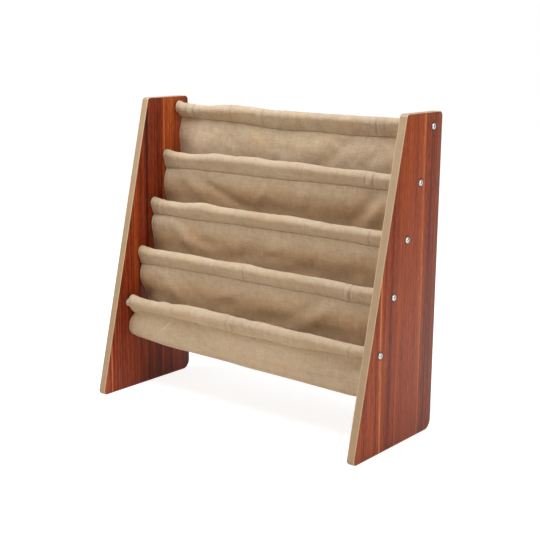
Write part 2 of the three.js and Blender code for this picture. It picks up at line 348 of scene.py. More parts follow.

# %% [markdown]
# The boards are faced with a printed wood-grain laminate. Its grain runs straight up, in reddish
# brown strips of different tone with dark streaks between them, and here and there a thin bright
# line where two strips of the veneer it imitates would meet. A picture of wood would be the usual
# way, but a recipe stays sharp from near by and can be changed strip by strip. The tone across the
# board is a ramp of listed strips, one for the outer faces and one for the inner ones, whose
# light rear strip darkens towards the foot. Noise drawn out along the grain adds the streaks. Each
# single line has a place, a lean, a width and a lift, which is below 0 where the line is dark.

# %% Tone of the wood-grain laminate
GRAIN_LEFT_EDGE = -130 * mm
GRAIN_WIDTH = 260 * mm
GRAIN_WANDER = 3 * mm
OUTER_STRIPS = [
    (0.00, 0.57), (0.20, 0.57), (0.25, 0.48), (0.30, 0.52), (0.36, 0.50), (0.41, 0.43), (0.46, 0.45),
    (0.52, 0.49), (0.58, 0.57), (0.64, 0.53), (0.70, 0.55), (0.77, 0.60), (0.81, 0.46), (0.88, 0.42),
    (0.95, 0.41),
]
INNER_STRIPS = [
    (0.00, 0.64), (0.16, 0.53), (0.30, 0.50), (0.40, 0.50), (0.46, 0.43), (0.50, 0.38), (0.54, 0.39),
    (0.60, 0.41), (0.655, 0.33), (0.68, 0.55), (0.74, 0.61), (0.76, 0.70), (0.84, 0.71), (0.90, 0.64),
    (1.00, 0.50),
]
INNER_REAR_STRIP = {"from": 0.7, "softness": 0.08, "below": 260 * mm, "darkens_by": 0.26}
INNER_CONTRAST = 1.25
OUTER_CONTRAST = 0.75
OUTER_LINES = [
    (78.6 * mm, -0.0126, 2.6 * mm, 0.26), (-49.4 * mm, -0.017, 2.5 * mm, 0.44),
    (-62 * mm, -0.017, 2.4 * mm, -0.12),
]
INNER_LINES = [
    (43.5 * mm, 0.02, 1.4 * mm, 0.42), (37 * mm, 0.02, 1.8 * mm, -0.16),
    (26 * mm, 0, 2 * mm, -0.12), (3 * mm, 0, 2.4 * mm, -0.26),
    (-44.5 * mm, 0, 1.5 * mm, -0.22), (-74 * mm, 0, 2.2 * mm, -0.2), (-83.5 * mm, 0, 1 * mm, 0.16),
    (-88.5 * mm, 0, 1.8 * mm, -0.18), (-105 * mm, 0, 0.9 * mm, 0.32), (-108.5 * mm, 0, 1.4 * mm, -0.16),
]


def wood_tone(recipe, place, is_outer, streaks, fibres):
    """How light the print is, from 0 to 1. Is_outer is 1 on an outer face and 0 on an inner one."""
    _, y, z = recipe.split(place)
    wander = recipe.grain(place, (20, 6, 5), detail=2) - 0.5
    across = y + wander * GRAIN_WANDER
    share = (across - GRAIN_LEFT_EDGE) / GRAIN_WIDTH
    outer = recipe.ramp(share, [(at, grey(tone)) for at, tone in OUTER_STRIPS])
    inner = recipe.ramp(share, [(at, grey(tone)) for at, tone in INNER_STRIPS])
    tone = outer * is_outer + inner * (1 - is_outer)
    low_down = 1 - (z / INNER_REAR_STRIP["below"]).clamped()
    at_rear = share.above(INNER_REAR_STRIP["from"], INNER_REAR_STRIP["softness"])
    tone = tone - (1 - is_outer) * low_down * at_rear * INNER_REAR_STRIP["darkens_by"]
    broad = recipe.grain(place, (60, 90, 1.6), detail=2)
    flecks = recipe.grain(place, (60, 640, 75), detail=2)
    contrast = INNER_CONTRAST - is_outer * (INNER_CONTRAST - OUTER_CONTRAST)
    tone = tone + (broad - 0.5) * 0.4 + (streaks - 0.5) * contrast + (fibres - 0.5) * 0.4
    tone = tone + (flecks - 0.5) * 0.6
    for lines, mask in ((OUTER_LINES, is_outer), (INNER_LINES, 1 - is_outer)):
        for at, lean, width, lift in lines:
            tone = tone + (across - z * lean).bell(at, width) * mask * lift
    dark_streaks = recipe.grain(place, (90, 260, 1.3), detail=1).above(0.64, 0.08)
    return tone - dark_streaks * 0.24


print("strips outside and inside:", len(OUTER_STRIPS), len(INNER_STRIPS))
print("lines outside and inside:", len(OUTER_LINES), len(INNER_LINES))

# %% [markdown]
# A second ramp turns tone into colour, from nearly black streaks to the orange of bright lines.
# The inner faces are tinted a little redder and darker, a painted shade, as they look beside the
# warm canvas. Round each bolt head the print is darker: a painted contact shadow. The bolts lie on
# a sloping line at even steps, so the nearest one is found by rounding, and one ring of painted
# shadow serves them all. Pressed fibres and pores give the satin surface a little relief.

# %% Wood-grain laminate
# Painted shade in the wood: a contact shadow round each bolt head, and a darker, redder inner face.
BOLT_SHADOW_RADIUS = 6.8 * mm
BOLT_SHADOW_WIDTH = 1.1 * mm
INNER_SHADE_TINT = (0.97, 0.80, 0.58, 1)


def bolt_shadow_rings(recipe, place):
    """1 on a ring round every bolt, where a contact shadow is painted, 0 away from it."""
    _, y, z = recipe.split(place)
    first, last = rod_axes[0], rod_axes[-1]
    step = (last - first) / (ROD_COUNT - 1)
    nearest = ((z - first.z) / step.z).math("ROUND").math("MINIMUM", ROD_COUNT - 1)
    sideways = y - first.y - nearest * step.y
    upwards = z - first.z - nearest * step.z
    from_bolt = (sideways * sideways + upwards * upwards).math("SQRT")
    return from_bolt.bell(BOLT_SHADOW_RADIUS, BOLT_SHADOW_WIDTH)


def wood_finish():
    recipe = new_finish("wood_grain_laminate")
    place = recipe.add("ShaderNodeTexCoord", output="Object")
    is_outer = abs(recipe.split(place)[0]).above(panel_middle, 1 * mm)
    streaks = recipe.grain(place, (60, 420, 3.5), detail=3, roughness=0.65)
    fibres = recipe.grain(place, (60, 1700, 24), detail=2)
    colour = recipe.ramp(wood_tone(recipe, place, is_outer, streaks, fibres), [
        (0.00, paint(56, 17, 8)),
        (0.25, paint(104, 36, 16)),
        (0.50, paint(149, 64, 32)),
        (0.75, paint(178, 88, 42)),
        (1.00, paint(218, 138, 80)),
    ])
    # Painted shade: the inner faces are tinted darker and redder.
    colour = recipe.mix(1 - is_outer, colour, INNER_SHADE_TINT, blend="MULTIPLY")
    # Painted contact shadow: a dark ring round each bolt head on the outer faces.
    bolt_shadow = bolt_shadow_rings(recipe, place) * is_outer
    colour = recipe.mix(bolt_shadow * 0.75, colour, paint(38, 14, 12))
    pores = recipe.grain(place, (500, 2600, 60), detail=1)
    normal = recipe.relief(fibres * 0.6 + pores * 0.4, 0.03 * mm)
    return recipe.surface(
        Base_Color=colour, Roughness=0.36 + streaks * 0.12, Specular_IOR_Level=0.24, Normal=normal)


wood = wood_finish()
print("made", wood.name)

# %% [markdown]
# The boards' edges are covered with a tan plastic tape. It is nearly one colour, with a faint
# cloudy mottle and fine lines that run with the grain of the print, and it has a soft satin
# shine. Noise at two scales is enough for it, and its rounded outer edges are a little paler: a
# painted highlight.

# %% Edge tape
RIM_HIGHLIGHT_WIDTH = 1.5 * mm
RIM_HIGHLIGHT_SOFTNESS = 0.8 * mm


def tape_finish():
    recipe = new_finish("tan_edge_tape")
    place = recipe.add("ShaderNodeTexCoord", output="Object")
    cloudy = recipe.grain(place, (60, 60, 60), detail=3)
    fine = recipe.grain(place, (900, 260, 90), detail=2)
    light = recipe.mix(cloudy, paint(157, 129, 98), paint(174, 146, 113))
    colour = recipe.mix(fine * 0.35, light, paint(150, 124, 92))
    x = recipe.split(place)[0]
    # Painted highlight: the tape is paler along its two rounded edges.
    from_middle = abs(abs(x) - panel_middle)
    rim_highlight = from_middle.above(panel_thickness / 2 - RIM_HIGHLIGHT_WIDTH, RIM_HIGHLIGHT_SOFTNESS)
    colour = recipe.mix(rim_highlight * 0.5, colour, paint(214, 188, 152))
    normal = recipe.relief(fine, 0.03 * mm)
    return recipe.surface(Base_Color=colour, Roughness=0.42 + cloudy * 0.12, Normal=normal)


tape = tape_finish()
print("made", tape.name)

# %% [markdown]
# Three metal finishes follow. The rods are steel tubes with a pale grey coating. The bolts are
# bright zinc plated, a little frosted, and the plugs in the rods' ends are duller, with the
# yellowish cast of passivated zinc. Each has faint clouds in its roughness, because plating is
# never quite even.

# %% Metal finishes
SPECKLES_PER_CLOUD = 8


def metal_finish(name, light, dark, metallic, roughness, cloud_size, depth):
    recipe = new_finish(name)
    place = recipe.add("ShaderNodeTexCoord", output="Object")
    clouds = recipe.grain(place, [1 / cloud_size] * 3, detail=3)
    speckle = recipe.grain(place, [SPECKLES_PER_CLOUD / cloud_size] * 3, detail=2)
    colour = recipe.mix(clouds, light, dark)
    shine = roughness + clouds * 0.12
    normal = recipe.relief(speckle, depth)
    return recipe.surface(Base_Color=colour, Metallic=metallic, Roughness=shine, Normal=normal)


rod_coating = metal_finish(
    "pale_grey_coating", paint(214, 210, 203), paint(204, 199, 191), 0, 0.32, 12 * mm, 0.02 * mm)
bolt_plating = metal_finish(
    "bright_zinc", paint(224, 227, 229), paint(196, 202, 208), 1, 0.22, 4 * mm, 0.01 * mm)
plug_plating = metal_finish(
    "dull_zinc", paint(196, 190, 166), paint(158, 150, 124), 1, 0.32, 5 * mm, 0.02 * mm)
print("made", rod_coating.name, bolt_plating.name, plug_plating.name)

# %% [markdown]
# The sling is plain woven canvas in khaki. Its pattern follows the cloth and not the room, so it
# reads the cloth's own map, which holds metres across and along the strip. Threads that pass over
# and under each other could be modelled one by one, but they are under a millimetre wide, and at
# that size a relief worked out from two sine waves looks the same. A thin pale line leans across
# the front of the lowest pocket: a painted highlight along a thin crease. It is placed in the
# colour, where the photograph shows it.

# %% Weave and marks of the canvas
CLOTH_MAP = "cloth_metres"
# Attribute for the shade painted along the stitches and in the creases.
LINE_SHADE_MARK = "stitch_nearness"
# Attribute for the warm shade painted deep in the pockets.
POCKET_SHADE_MARK = "depth_in_pocket"
THREAD_PITCH = 0.8 * mm
# Place and size of a painted highlight along a thin crease on the lowest pocket's front.
CREASE_HIGHLIGHT_X = -187 * mm
CREASE_HIGHLIGHT_BELOW_ROD = 31 * mm
CREASE_HIGHLIGHT_LENGTH = 14 * mm
CREASE_HIGHLIGHT_WIDTH = 1.1 * mm
CREASE_HIGHLIGHT_LEAN = math.radians(41)
CREASE_HIGHLIGHT_DEPTH_LIMIT = 20 * mm


def weave_height(across, along):
    """How high the cloth stands at each place, as its threads pass over and under each other."""
    warp = (across * (math.pi / THREAD_PITCH)).sine()
    weft = (along * (math.pi / THREAD_PITCH)).sine()
    warp_on_top = (warp * weft * 3 + 0.5).clamped()
    warp_height = abs(warp) * (abs(weft) * 0.4 + 0.6)
    weft_height = abs(weft) * (abs(warp) * 0.4 + 0.6)
    return warp_height * warp_on_top + weft_height * (1 - warp_on_top)


def crease_highlight_line(recipe):
    """1 along the painted highlight of a thin crease on the lowest pocket's front wall, 0 elsewhere."""
    x, y, z = recipe.split(recipe.add("ShaderNodeTexCoord", output="Object"))
    rod = rod_axes[-1]
    right = x - CREASE_HIGHLIGHT_X
    up = z - (rod.z - CREASE_HIGHLIGHT_BELOW_ROD)
    lengthwise = right * math.cos(CREASE_HIGHLIGHT_LEAN) + up * math.sin(CREASE_HIGHLIGHT_LEAN)
    crosswise = up * math.cos(CREASE_HIGHLIGHT_LEAN) - right * math.sin(CREASE_HIGHLIGHT_LEAN)
    on_front = 1 - y.above(rod.y + CREASE_HIGHLIGHT_DEPTH_LIMIT, 5 * mm)
    return lengthwise.bell(0, CREASE_HIGHLIGHT_LENGTH) * crosswise.bell(0, CREASE_HIGHLIGHT_WIDTH) * on_front


print("threads across the cloth per cm:", round(10 * mm / THREAD_PITCH, 1))

# %% [markdown]
# Noise of many sizes drives one ramp of khaki. Uneven yarn makes fine lines both ways, and broad
# soft clouds make the colour drift a little warmer and darker from place to place. The first
# stretch of the strip, which hangs highest, is more blotched than the rest. Painted shade darkens
# the cloth along its stitches and in the creases pinched into the sleeves, which the mesh marks
# with an attribute of its own. In the photograph the cloth deep in a pocket is a warmer brown than
# the cloth that light reaches, so a second attribute says how deep the cloth lies, and a warmer,
# darker tint is painted there as shade. Yarn and soft crinkles add to the relief, and a light
# sheen stands for the fuzz at the edges.

# %% Canvas
# Painted shade: cloth deep in a pocket is tinted warmer and darker.
DEEP_SHADE_TINT = (1.03, 0.89, 0.75, 1)
BLOTCHED_LENGTH = 240 * mm
BLOTCHED_FADE = 60 * mm


def canvas_finish():
    recipe = new_finish("khaki_canvas")
    cloth = recipe.add("ShaderNodeUVMap", {"uv_map": CLOTH_MAP})
    across, along, _ = recipe.split(cloth)
    weave = weave_height(across, along)
    warp_yarn = recipe.grain(cloth, (900, 25, 1), detail=3, roughness=0.6)
    weft_yarn = recipe.grain(cloth, (25, 900, 1), detail=3, roughness=0.6)
    clouds = recipe.grain(cloth, (9, 12, 1), detail=3)
    mottle = recipe.grain(cloth, (70, 85, 1), detail=4, roughness=0.6)
    slubs = recipe.grain(cloth, (240, 40, 1), detail=2) + recipe.grain(cloth, (40, 240, 1), detail=2)
    fuzz = recipe.grain(cloth, (330, 360, 1), detail=3, roughness=0.6)
    warmth = recipe.grain(cloth, (16, 22, 1), detail=3).above(0.58, 0.25)
    blotched = 1 - along.above(BLOTCHED_LENGTH, BLOTCHED_FADE)
    blotches = recipe.grain(cloth, (38, 46, 1), detail=3, roughness=0.6)
    tone = 0.5 + (clouds - 0.5) * 0.5 + (mottle - 0.5) * 0.55 + (blotches - 0.5) * blotched * 0.7
    tone = tone + (slubs - 1) * 0.3 + (fuzz - 0.5) * (blotched * 0.3 + 0.6)
    tone = tone + (warp_yarn - 0.5) * 0.4 + (weft_yarn - 0.5) * 0.4
    colour = recipe.ramp(tone, [
        (0.0, paint(160, 138, 113)),
        (0.5, paint(191, 169, 140)),
        (1.0, paint(216, 195, 167)),
    ])
    colour = recipe.mix(warmth * (blotched * 0.1 + 0.24), colour, paint(198, 160, 112))
    # Painted shade: the low places of the weave, between the threads, are darker.
    colour = recipe.mix((1 - weave) * 0.22, colour, paint(130, 106, 78))
    # Painted shade: warmer and darker with the depth in a pocket.
    deep = recipe.add("ShaderNodeAttribute", {"attribute_name": POCKET_SHADE_MARK}, output="Fac")
    colour = recipe.mix(deep, colour, DEEP_SHADE_TINT, blend="MULTIPLY")
    # Painted shade: darker along the stitches and in the creases.
    line_shade = recipe.add("ShaderNodeAttribute", {"attribute_name": LINE_SHADE_MARK}, output="Fac")
    colour = recipe.mix(line_shade * 0.4, colour, paint(104, 80, 56))
    # Painted highlight along a thin crease on the lowest pocket's front wall.
    colour = recipe.mix(crease_highlight_line(recipe) * 0.5, colour, paint(228, 212, 188))
    crinkle = recipe.grain(cloth, (120, 140, 1), detail=3)
    height = weave * 0.8 + (warp_yarn + weft_yarn) * 0.3 + crinkle * 1.35
    normal = recipe.relief(height, 0.12 * mm)
    return recipe.surface(
        Base_Color=colour, Roughness=0.92, Sheen_Weight=0.3, Sheen_Roughness=0.4,
        Specular_IOR_Level=0.25, Normal=normal)


canvas = canvas_finish()
print("made", canvas.name)

# %% [markdown]
# The sewing thread is a shade or two off the canvas, so that a stitch can just be told from the
# cloth. Very fine noise stands for its twisted strands.

# %% Thread
def thread_finish():
    recipe = new_finish("tan_thread")
    place = recipe.add("ShaderNodeTexCoord", output="Object")
    strands = recipe.grain(place, (2600, 2600, 2600), detail=1)
    colour = recipe.mix(strands, paint(178, 152, 120), paint(148, 122, 92))
    normal = recipe.relief(strands, 0.05 * mm)
    return recipe.surface(
        Base_Color=colour, Roughness=0.6 + strands * 0.2, Sheen_Weight=0.2, Normal=normal)


thread = thread_finish()
print("finishes:", [finish.name for finish in bpy.data.materials])

# %% [markdown]
# The rigid pieces are modelled with the same operators as by hand. These helpers open a piece
# for editing, pick its elements by a test on their place or direction, and close it again. A
# new piece gets its place put into its mesh straight away, so that its object stays at the
# origin as the frame's nodes do.

# %% Helpers for modelling
RIGID_SMOOTHING = math.radians(30)
SOFT_SMOOTHING = math.radians(60)


def only(piece):
    """Selects this piece alone and makes it the active one."""
    bpy.ops.object.select_all(action="DESELECT")
    piece.select_set(True)
    bpy.context.view_layer.objects.active = piece
    return piece


def settle(name):
    """Names the piece just added and moves its place, turn and scale into its mesh."""
    piece = only(bpy.context.object)
    piece.name = name
    piece.data.name = name
    bpy.ops.object.transform_apply(location=True, rotation=True, scale=True)
    return piece


def open_piece(piece):
    """Puts this piece alone into edit mode."""
    only(piece)
    bpy.ops.object.mode_set(mode="EDIT")


def close_piece():
    bpy.ops.object.mode_set(mode="OBJECT")


def pick(piece, kind, test):
    """In edit mode, selects just the vertices, edges or faces that pass the test."""
    bpy.ops.mesh.select_mode(type=kind)
    bpy.ops.mesh.select_all(action="DESELECT")
    mesh = bmesh.from_edit_mesh(piece.data)
    elements = {"VERT": mesh.verts, "EDGE": mesh.edges, "FACE": mesh.faces}[kind]
    chosen = [element for element in elements if test(element)]
    for element in chosen:
        element.select_set(True)
    mesh.select_flush_mode()
    bmesh.update_edit_mesh(piece.data)
    return len(chosen)


def edge_middle(edge):
    return (edge.verts[0].co + edge.verts[1].co) / 2


def faces_sideways(face):
    """Tells whether a face looks along X, to the left or to the right."""
    return abs(face.normal.x) > 0.9


def apply_modifier(piece, kind, **settings):
    """Adds one modifier with its settings and applies it."""
    only(piece)
    modifier = piece.modifiers.new(kind.lower(), kind)
    for name, setting in settings.items():
        setattr(modifier, name, setting)
    bpy.ops.object.modifier_apply(modifier=modifier.name)
    return piece


def cut_with(piece, cutter):
    """Cuts one solid out of the piece and removes the cutter."""
    apply_modifier(piece, "BOOLEAN", operation="DIFFERENCE", object=cutter, solver="EXACT")
    bpy.data.objects.remove(cutter)
    return piece


def round_off(piece, angle=RIGID_SMOOTHING):
    """Shades the piece smooth, except across edges sharper than the angle."""
    only(piece)
    bpy.ops.object.shade_smooth_by_angle(angle=angle)
    return piece


def dress(piece, finish, slot, *nodes):
    """Gives a piece its finish, hides the nodes that it stands for, and fixes it to the rack."""
    piece.data.materials.clear()
    piece.data.materials.append(finish)
    if nodes:
        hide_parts(*nodes)
    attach(piece, "root")
    return piece


# %% [markdown]
# Each side panel is a 15 mm board with an upright rear edge, a front edge that leans back, and
# four rounded corners. It could be extruded from a drawn outline, but a block needs fewer steps. It
# is added at the panel's size, its top front edge is pulled back for the slope, and each corner
# edge gets a bevel of its own radius. The same steps with a smaller outline make the board that
# sits inside the tape. Sharp board edges catch a thin highlight, so the laminate's rim gets a very
# fine bevel.

# %% The outline of a panel
TOP_DEPTH = 118 * mm
FOOT_DEPTH = 256 * mm
TAPE_THICKNESS = 1 * mm
TAPE_ROUNDING = 0.6 * mm
BOARD_RIM_BEVEL = 0.3 * mm
CORNER_SEGMENTS = 10
CORNERS = {
    "foot_front": {"front": True, "top": False, "radius": 8 * mm},
    "foot_rear": {"front": False, "top": False, "radius": 18 * mm},
    "top_rear": {"front": False, "top": True, "radius": 9 * mm},
    "top_front": {"front": True, "top": True, "radius": 7 * mm},
}
front_slope = math.atan((FOOT_DEPTH - TOP_DEPTH) / panel_height)
front_foot_y = rear_y - FOOT_DEPTH


def panel_block(name, side, inset):
    """A panel's outline moved inwards by inset, as a solid at its place in the rack."""
    low_y = front_foot_y + inset / math.cos(front_slope) + inset * math.tan(front_slope)
    high_y = rear_y - inset
    middle_y = (low_y + high_y) / 2
    middle_z = panel_height / 2
    height = panel_height - 2 * inset
    bpy.ops.mesh.primitive_cube_add(
        size=1, location=(side * panel_middle, middle_y, middle_z),
        scale=(panel_thickness, high_y - low_y, height))
    block = settle(name)
    open_piece(block)
    pick(block, "VERT", lambda v: v.co.y < middle_y and v.co.z > middle_z)
    bpy.ops.transform.translate(value=(0, height * math.tan(front_slope), 0))
    for corner in CORNERS.values():
        def at_corner(edge):
            at = edge_middle(edge)
            across = abs(edge.verts[0].co.x - edge.verts[1].co.x) > panel_thickness / 2
            front_y = low_y + (at.z - inset) * math.tan(front_slope)
            in_front = at.y < (front_y + high_y) / 2
            on_top = at.z > middle_z
            return across and in_front == corner["front"] and on_top == corner["top"]
        pick(block, "EDGE", at_corner)
        turn = math.pi / 2
        if corner["front"]:
            turn += -front_slope if corner["top"] else front_slope
        reach = (corner["radius"] - inset) * math.tan(turn / 2)
        bpy.ops.mesh.bevel(offset=reach, segments=CORNER_SEGMENTS, affect="EDGES")
    close_piece()
    return block


print("front edge leans back by", round(math.degrees(front_slope), 1), "degrees")

# %% [markdown]
# The bolts pass through the board, so five holes are cut in it. Each board is one mesh, with its
# laminate on both faces. The tape is the panel's full outline without its two large faces,
# thickened inwards, and its two outer edges are rounded as the trimming tool leaves them.

# %% Boards and edge tape
BOLT_HOLE_DIAMETER = 6.6 * mm
HOLE_SEGMENTS = 32


def make_board(side_name, side):
    board = panel_block(f"side_board_{side_name}", side, TAPE_THICKNESS)

    def is_rim(edge):
        faces = edge.link_faces
        return len(faces) == 2 and sum(faces_sideways(face) for face in faces) == 1

    open_piece(board)
    pick(board, "EDGE", is_rim)
    bpy.ops.mesh.bevel(offset=BOARD_RIM_BEVEL, segments=2, affect="EDGES")
    close_piece()
    for axis in rod_axes:
        bpy.ops.mesh.primitive_cylinder_add(
            vertices=HOLE_SEGMENTS, radius=BOLT_HOLE_DIAMETER / 2, depth=2 * panel_thickness,
            location=(side * panel_middle, axis.y, axis.z),
            rotation=(0, math.pi / 2, 0))
        cut_with(board, settle("hole"))
    round_off(board)
    return dress(board, wood, "wood_board", f"board_{side_name}")


def make_tape(side_name, side):
    band = panel_block(f"edge_tape_{side_name}", side, 0)
    open_piece(band)
    pick(band, "FACE", faces_sideways)
    bpy.ops.mesh.delete(type="FACE")
    close_piece()
    apply_modifier(band, "SOLIDIFY", thickness=TAPE_THICKNESS, offset=-1, use_even_offset=True)
    inside = Vector((side * panel_middle, rear_y - FOOT_DEPTH / 3, panel_height / 2))

    def is_outer_rim(edge):
        rims = [face for face in edge.link_faces if faces_sideways(face)]
        walls = [face for face in edge.link_faces if abs(face.normal.x) < 0.1]
        if len(rims) != 1 or len(walls) != 1:
            return False
        return walls[0].normal.dot(walls[0].calc_center_median() - inside) > 0

    open_piece(band)
    print(side_name, "tape rim edges:", pick(band, "EDGE", is_outer_rim))
    bpy.ops.mesh.bevel(offset=TAPE_ROUNDING, segments=3, affect="EDGES")
    close_piece()
    round_off(band)
    return dress(band, tape, "edge_band", f"edge_band_{side_name}")


for side_name, side in SIDES.items():
    make_board(side_name, side)
    make_tape(side_name, side)

# %% [markdown]
# The rods are tubes that butt against the panels' inner faces. A cylinder's end faces are inset
# by the wall's thickness and joined through the tube, which leaves a ring at each end, and both
# rims are eased. One rod is modelled and copied to the other axes.

# %% Rods
ROD_WALL = 1.2 * mm
ROD_SEGMENTS = 64
ROD_RIM_EASE = 0.3 * mm
ROD_END_GAP = 0.1 * mm
rod_length = 2 * (inner_face - ROD_END_GAP)


def make_rod(name):
    """A tube along X about the origin."""
    bpy.ops.mesh.primitive_cylinder_add(
        vertices=ROD_SEGMENTS, radius=rod_radius, depth=rod_length, rotation=(0, math.pi / 2, 0))
    rod = settle(name)

    def is_end_rim(edge):
        one, other = (vertex.co for vertex in edge.verts)
        at_one_end = abs(one.x - other.x) < mm and min(abs(one.x), abs(other.x)) > rod_length / 2 - mm
        goes_round = abs(one.yz.length - other.yz.length) < 0.1 * mm
        return at_one_end and goes_round

    open_piece(rod)
    pick(rod, "FACE", faces_sideways)
    bpy.ops.mesh.inset(thickness=ROD_WALL)
    bpy.ops.mesh.bridge_edge_loops()
    pick(rod, "EDGE", is_end_rim)
    bpy.ops.mesh.bevel(offset=ROD_RIM_EASE, segments=2, affect="EDGES")
    close_piece()
    return round_off(rod)


def copy_to(piece, name, place):
    """A copy of the piece with a mesh of its own, moved by place within that mesh."""
    twin = piece.copy()
    twin.data = piece.data.copy()
    twin.name = name
    twin.data.name = name
    twin.data.transform(Matrix.Translation(place))
    bpy.context.scene.collection.objects.link(twin)
    return twin


pattern_rod = make_rod("pattern_rod")
for n, axis in enumerate(rod_axes, 1):
    rod = copy_to(pattern_rod, f"steel_rod_{n}", (0, axis.y, axis.z))
    dress(rod, rod_coating, "coated_rod", f"rod_{n}")
bpy.data.objects.remove(pattern_rod)
print("rods:", len(rod_axes), "of", round(rod_length / mm, 1), "mm")

# %% [markdown]
# A furniture bolt with a wide flat head and a hexagon socket holds each rod's end. The head is a
# thin cylinder whose outer face is inset and raised in small steps, which makes the low dome.
# The shank is drawn out of the underside, and the socket is cut in with a six-sided block. The
# frame's bolt gives the reach of head and shank, and the head is seated on the board. The plugs
# in the rods' ends are hidden, so the frame's own get a finish and nothing more.

# %% Bolts
HEAD_DIAMETER = 11.6 * mm
HEAD_RIM = 0.9 * mm
DOME_STEPS = [(0.3 * mm, 0.5 * mm), (0.6 * mm, 0.45 * mm), (0.8 * mm, 0.3 * mm), (1.3 * mm, 0.2 * mm)]
SHANK_DIAMETER = 6 * mm
SHANK_TIP = 0.8 * mm
SOCKET_ACROSS_FLATS = 4 * mm
SOCKET_DEPTH = 3 * mm
SOCKET_CHAMFER = 0.3 * mm
BOLT_SEGMENTS = 48
bolt_low, bolt_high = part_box("bolt_right_1")
head_reach = bolt_high.x - outer_face
shank_reach = outer_face - bolt_low.x


def make_bolt(name):
    """A bolt along X whose head sits on the plane X = 0 and points to +X."""
    bpy.ops.mesh.primitive_cylinder_add(
        vertices=BOLT_SEGMENTS, radius=HEAD_DIAMETER / 2, depth=HEAD_RIM,
        location=(HEAD_RIM / 2, 0, 0), rotation=(0, math.pi / 2, 0))
    bolt = settle(name)
    open_piece(bolt)
    pick(bolt, "FACE", lambda face: face.normal.x > 0.9)
    dome_height = head_reach - HEAD_RIM
    steps_height = sum(rise for _, rise in DOME_STEPS)
    for inward, rise in DOME_STEPS:
        bpy.ops.mesh.inset(thickness=inward)
        bpy.ops.transform.translate(value=(rise * dome_height / steps_height, 0, 0))
    pick(bolt, "FACE", lambda face: face.normal.x < -0.9)
    bpy.ops.mesh.inset(thickness=(HEAD_DIAMETER - SHANK_DIAMETER) / 2)
    bpy.ops.mesh.extrude_region_move(
        TRANSFORM_OT_translate={"value": (SHANK_TIP - shank_reach, 0, 0)})
    bpy.ops.mesh.extrude_region_move(TRANSFORM_OT_translate={"value": (-SHANK_TIP, 0, 0)})
    shrink = 1 - 2 * SHANK_TIP / SHANK_DIAMETER
    bpy.ops.transform.resize(value=(1, shrink, shrink))
    close_piece()
    flats_radius = SOCKET_ACROSS_FLATS / 2 / math.cos(math.pi / 6)
    bpy.ops.mesh.primitive_cylinder_add(
        vertices=6, radius=flats_radius, depth=2 * SOCKET_DEPTH, location=(head_reach, 0, 0),
        rotation=(0, math.pi / 2, 0))
    cut_with(bolt, settle("socket"))
    bpy.ops.mesh.primitive_cone_add(
        vertices=BOLT_SEGMENTS, radius1=flats_radius + SOCKET_CHAMFER, radius2=0,
        depth=flats_radius + SOCKET_CHAMFER,
        location=(head_reach - (flats_radius + SOCKET_CHAMFER) / 2, 0, 0),
        rotation=(0, -math.pi / 2, 0))
    cut_with(bolt, settle("chamfer"))
    return round_off(bolt)


pattern_bolt = make_bolt("pattern_bolt")
for side_name, side in SIDES.items():
    for n, axis in enumerate(rod_axes, 1):
        bolt = copy_to(pattern_bolt, f"bolt_head_{side_name}_{n}", (0, 0, 0))
        turn = Matrix.Rotation(0 if side > 0 else math.pi, 4, "Z")
        bolt.data.transform(Matrix.Translation((side * outer_face, axis.y, axis.z)) @ turn)
        dress(bolt, bolt_plating, "plated_bolt", f"bolt_{side_name}_{n}")
bpy.data.objects.remove(pattern_bolt)
for name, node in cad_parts.items():
    if name.startswith("plug_"):
        node.data.materials.clear()
        node.data.materials.append(plug_plating)
print("bolts:", len(SIDES) * ROD_COUNT, "with heads", round(head_reach / mm, 2), "mm high")

# %% [markdown]
# The sling is one long strip of canvas. It goes up over the first rod, down behind the first
# pocket, round that pocket's floor, up its front to the second rod, and so on to the fifth. Under
# each rod the two layers are sewn together, and that closes the sleeve. Soft cloth is better
# worked out than pushed about by hand, so the strip is a grid of points: columns across the
# cloth, and rows along it. The grid is close near the two side hems, where the detail is.

# %% The strip's grid
CLOTH_THICKNESS = 0.85 * mm
CLOTH_HALF_WIDTH = 290 * mm
COLUMN_PITCH = 1.9 * mm
HEM_WIDTH = 6.4 * mm
HEM_STITCH_FROM_EDGE = 5 * mm
EDGE_COLUMNS = np.array([0, 0.7, 1.6, 2.6, 3.6, 4.4, 5.0, 5.6, 6.4, 7.6, 9.2, 11.2]) * mm
EDGE_COLUMNS_REACH = 13.5 * mm

middle_span = CLOTH_HALF_WIDTH - EDGE_COLUMNS_REACH
middle_count = round(2 * middle_span / COLUMN_PITCH)
columns = np.concatenate([
    EDGE_COLUMNS - CLOTH_HALF_WIDTH,
    np.linspace(-middle_span, middle_span, middle_count),
    (CLOTH_HALF_WIDTH - EDGE_COLUMNS)[::-1],
])
from_edge = CLOTH_HALF_WIDTH - np.abs(columns)
print("columns across the cloth:", len(columns))

# %% [markdown]
# A few helpers shape the cloth. Two give soft steps and humps. Outlines and seams are soft lines
# through points read from the photograph. Rows lie close together beside a seam, where the cloth
# bends sharply, and further apart beyond it. What isn't listed is wavy noise, which starts
# at a place of its own for every use and every rod, so that no two sleeves or pockets are alike.

# %% Helpers for soft shapes
SEAM_ROWS = np.array([0, 0.5, 1.1, 1.8, 2.7, 3.9, 5.4]) * mm
LINE_BLUR = 14 * mm
OUTLINE_BLUR = 7 * mm
NOISE_GAIN = 1.6
NOISE_STARTS = {
    "seam": 3.1, "sleeve_top": 6.7, "sleeve_folds": 11.3, "pocket_slack": 4.3, "pocket_creases": 2.9,
    "pucker_patches": 5.9, "pucker_places": 1.7,
}


def eased(share):
    """Goes from 0 to 1 with a level start and end."""
    share = np.clip(share, 0, 1)
    return share * share * (3 - 2 * share)


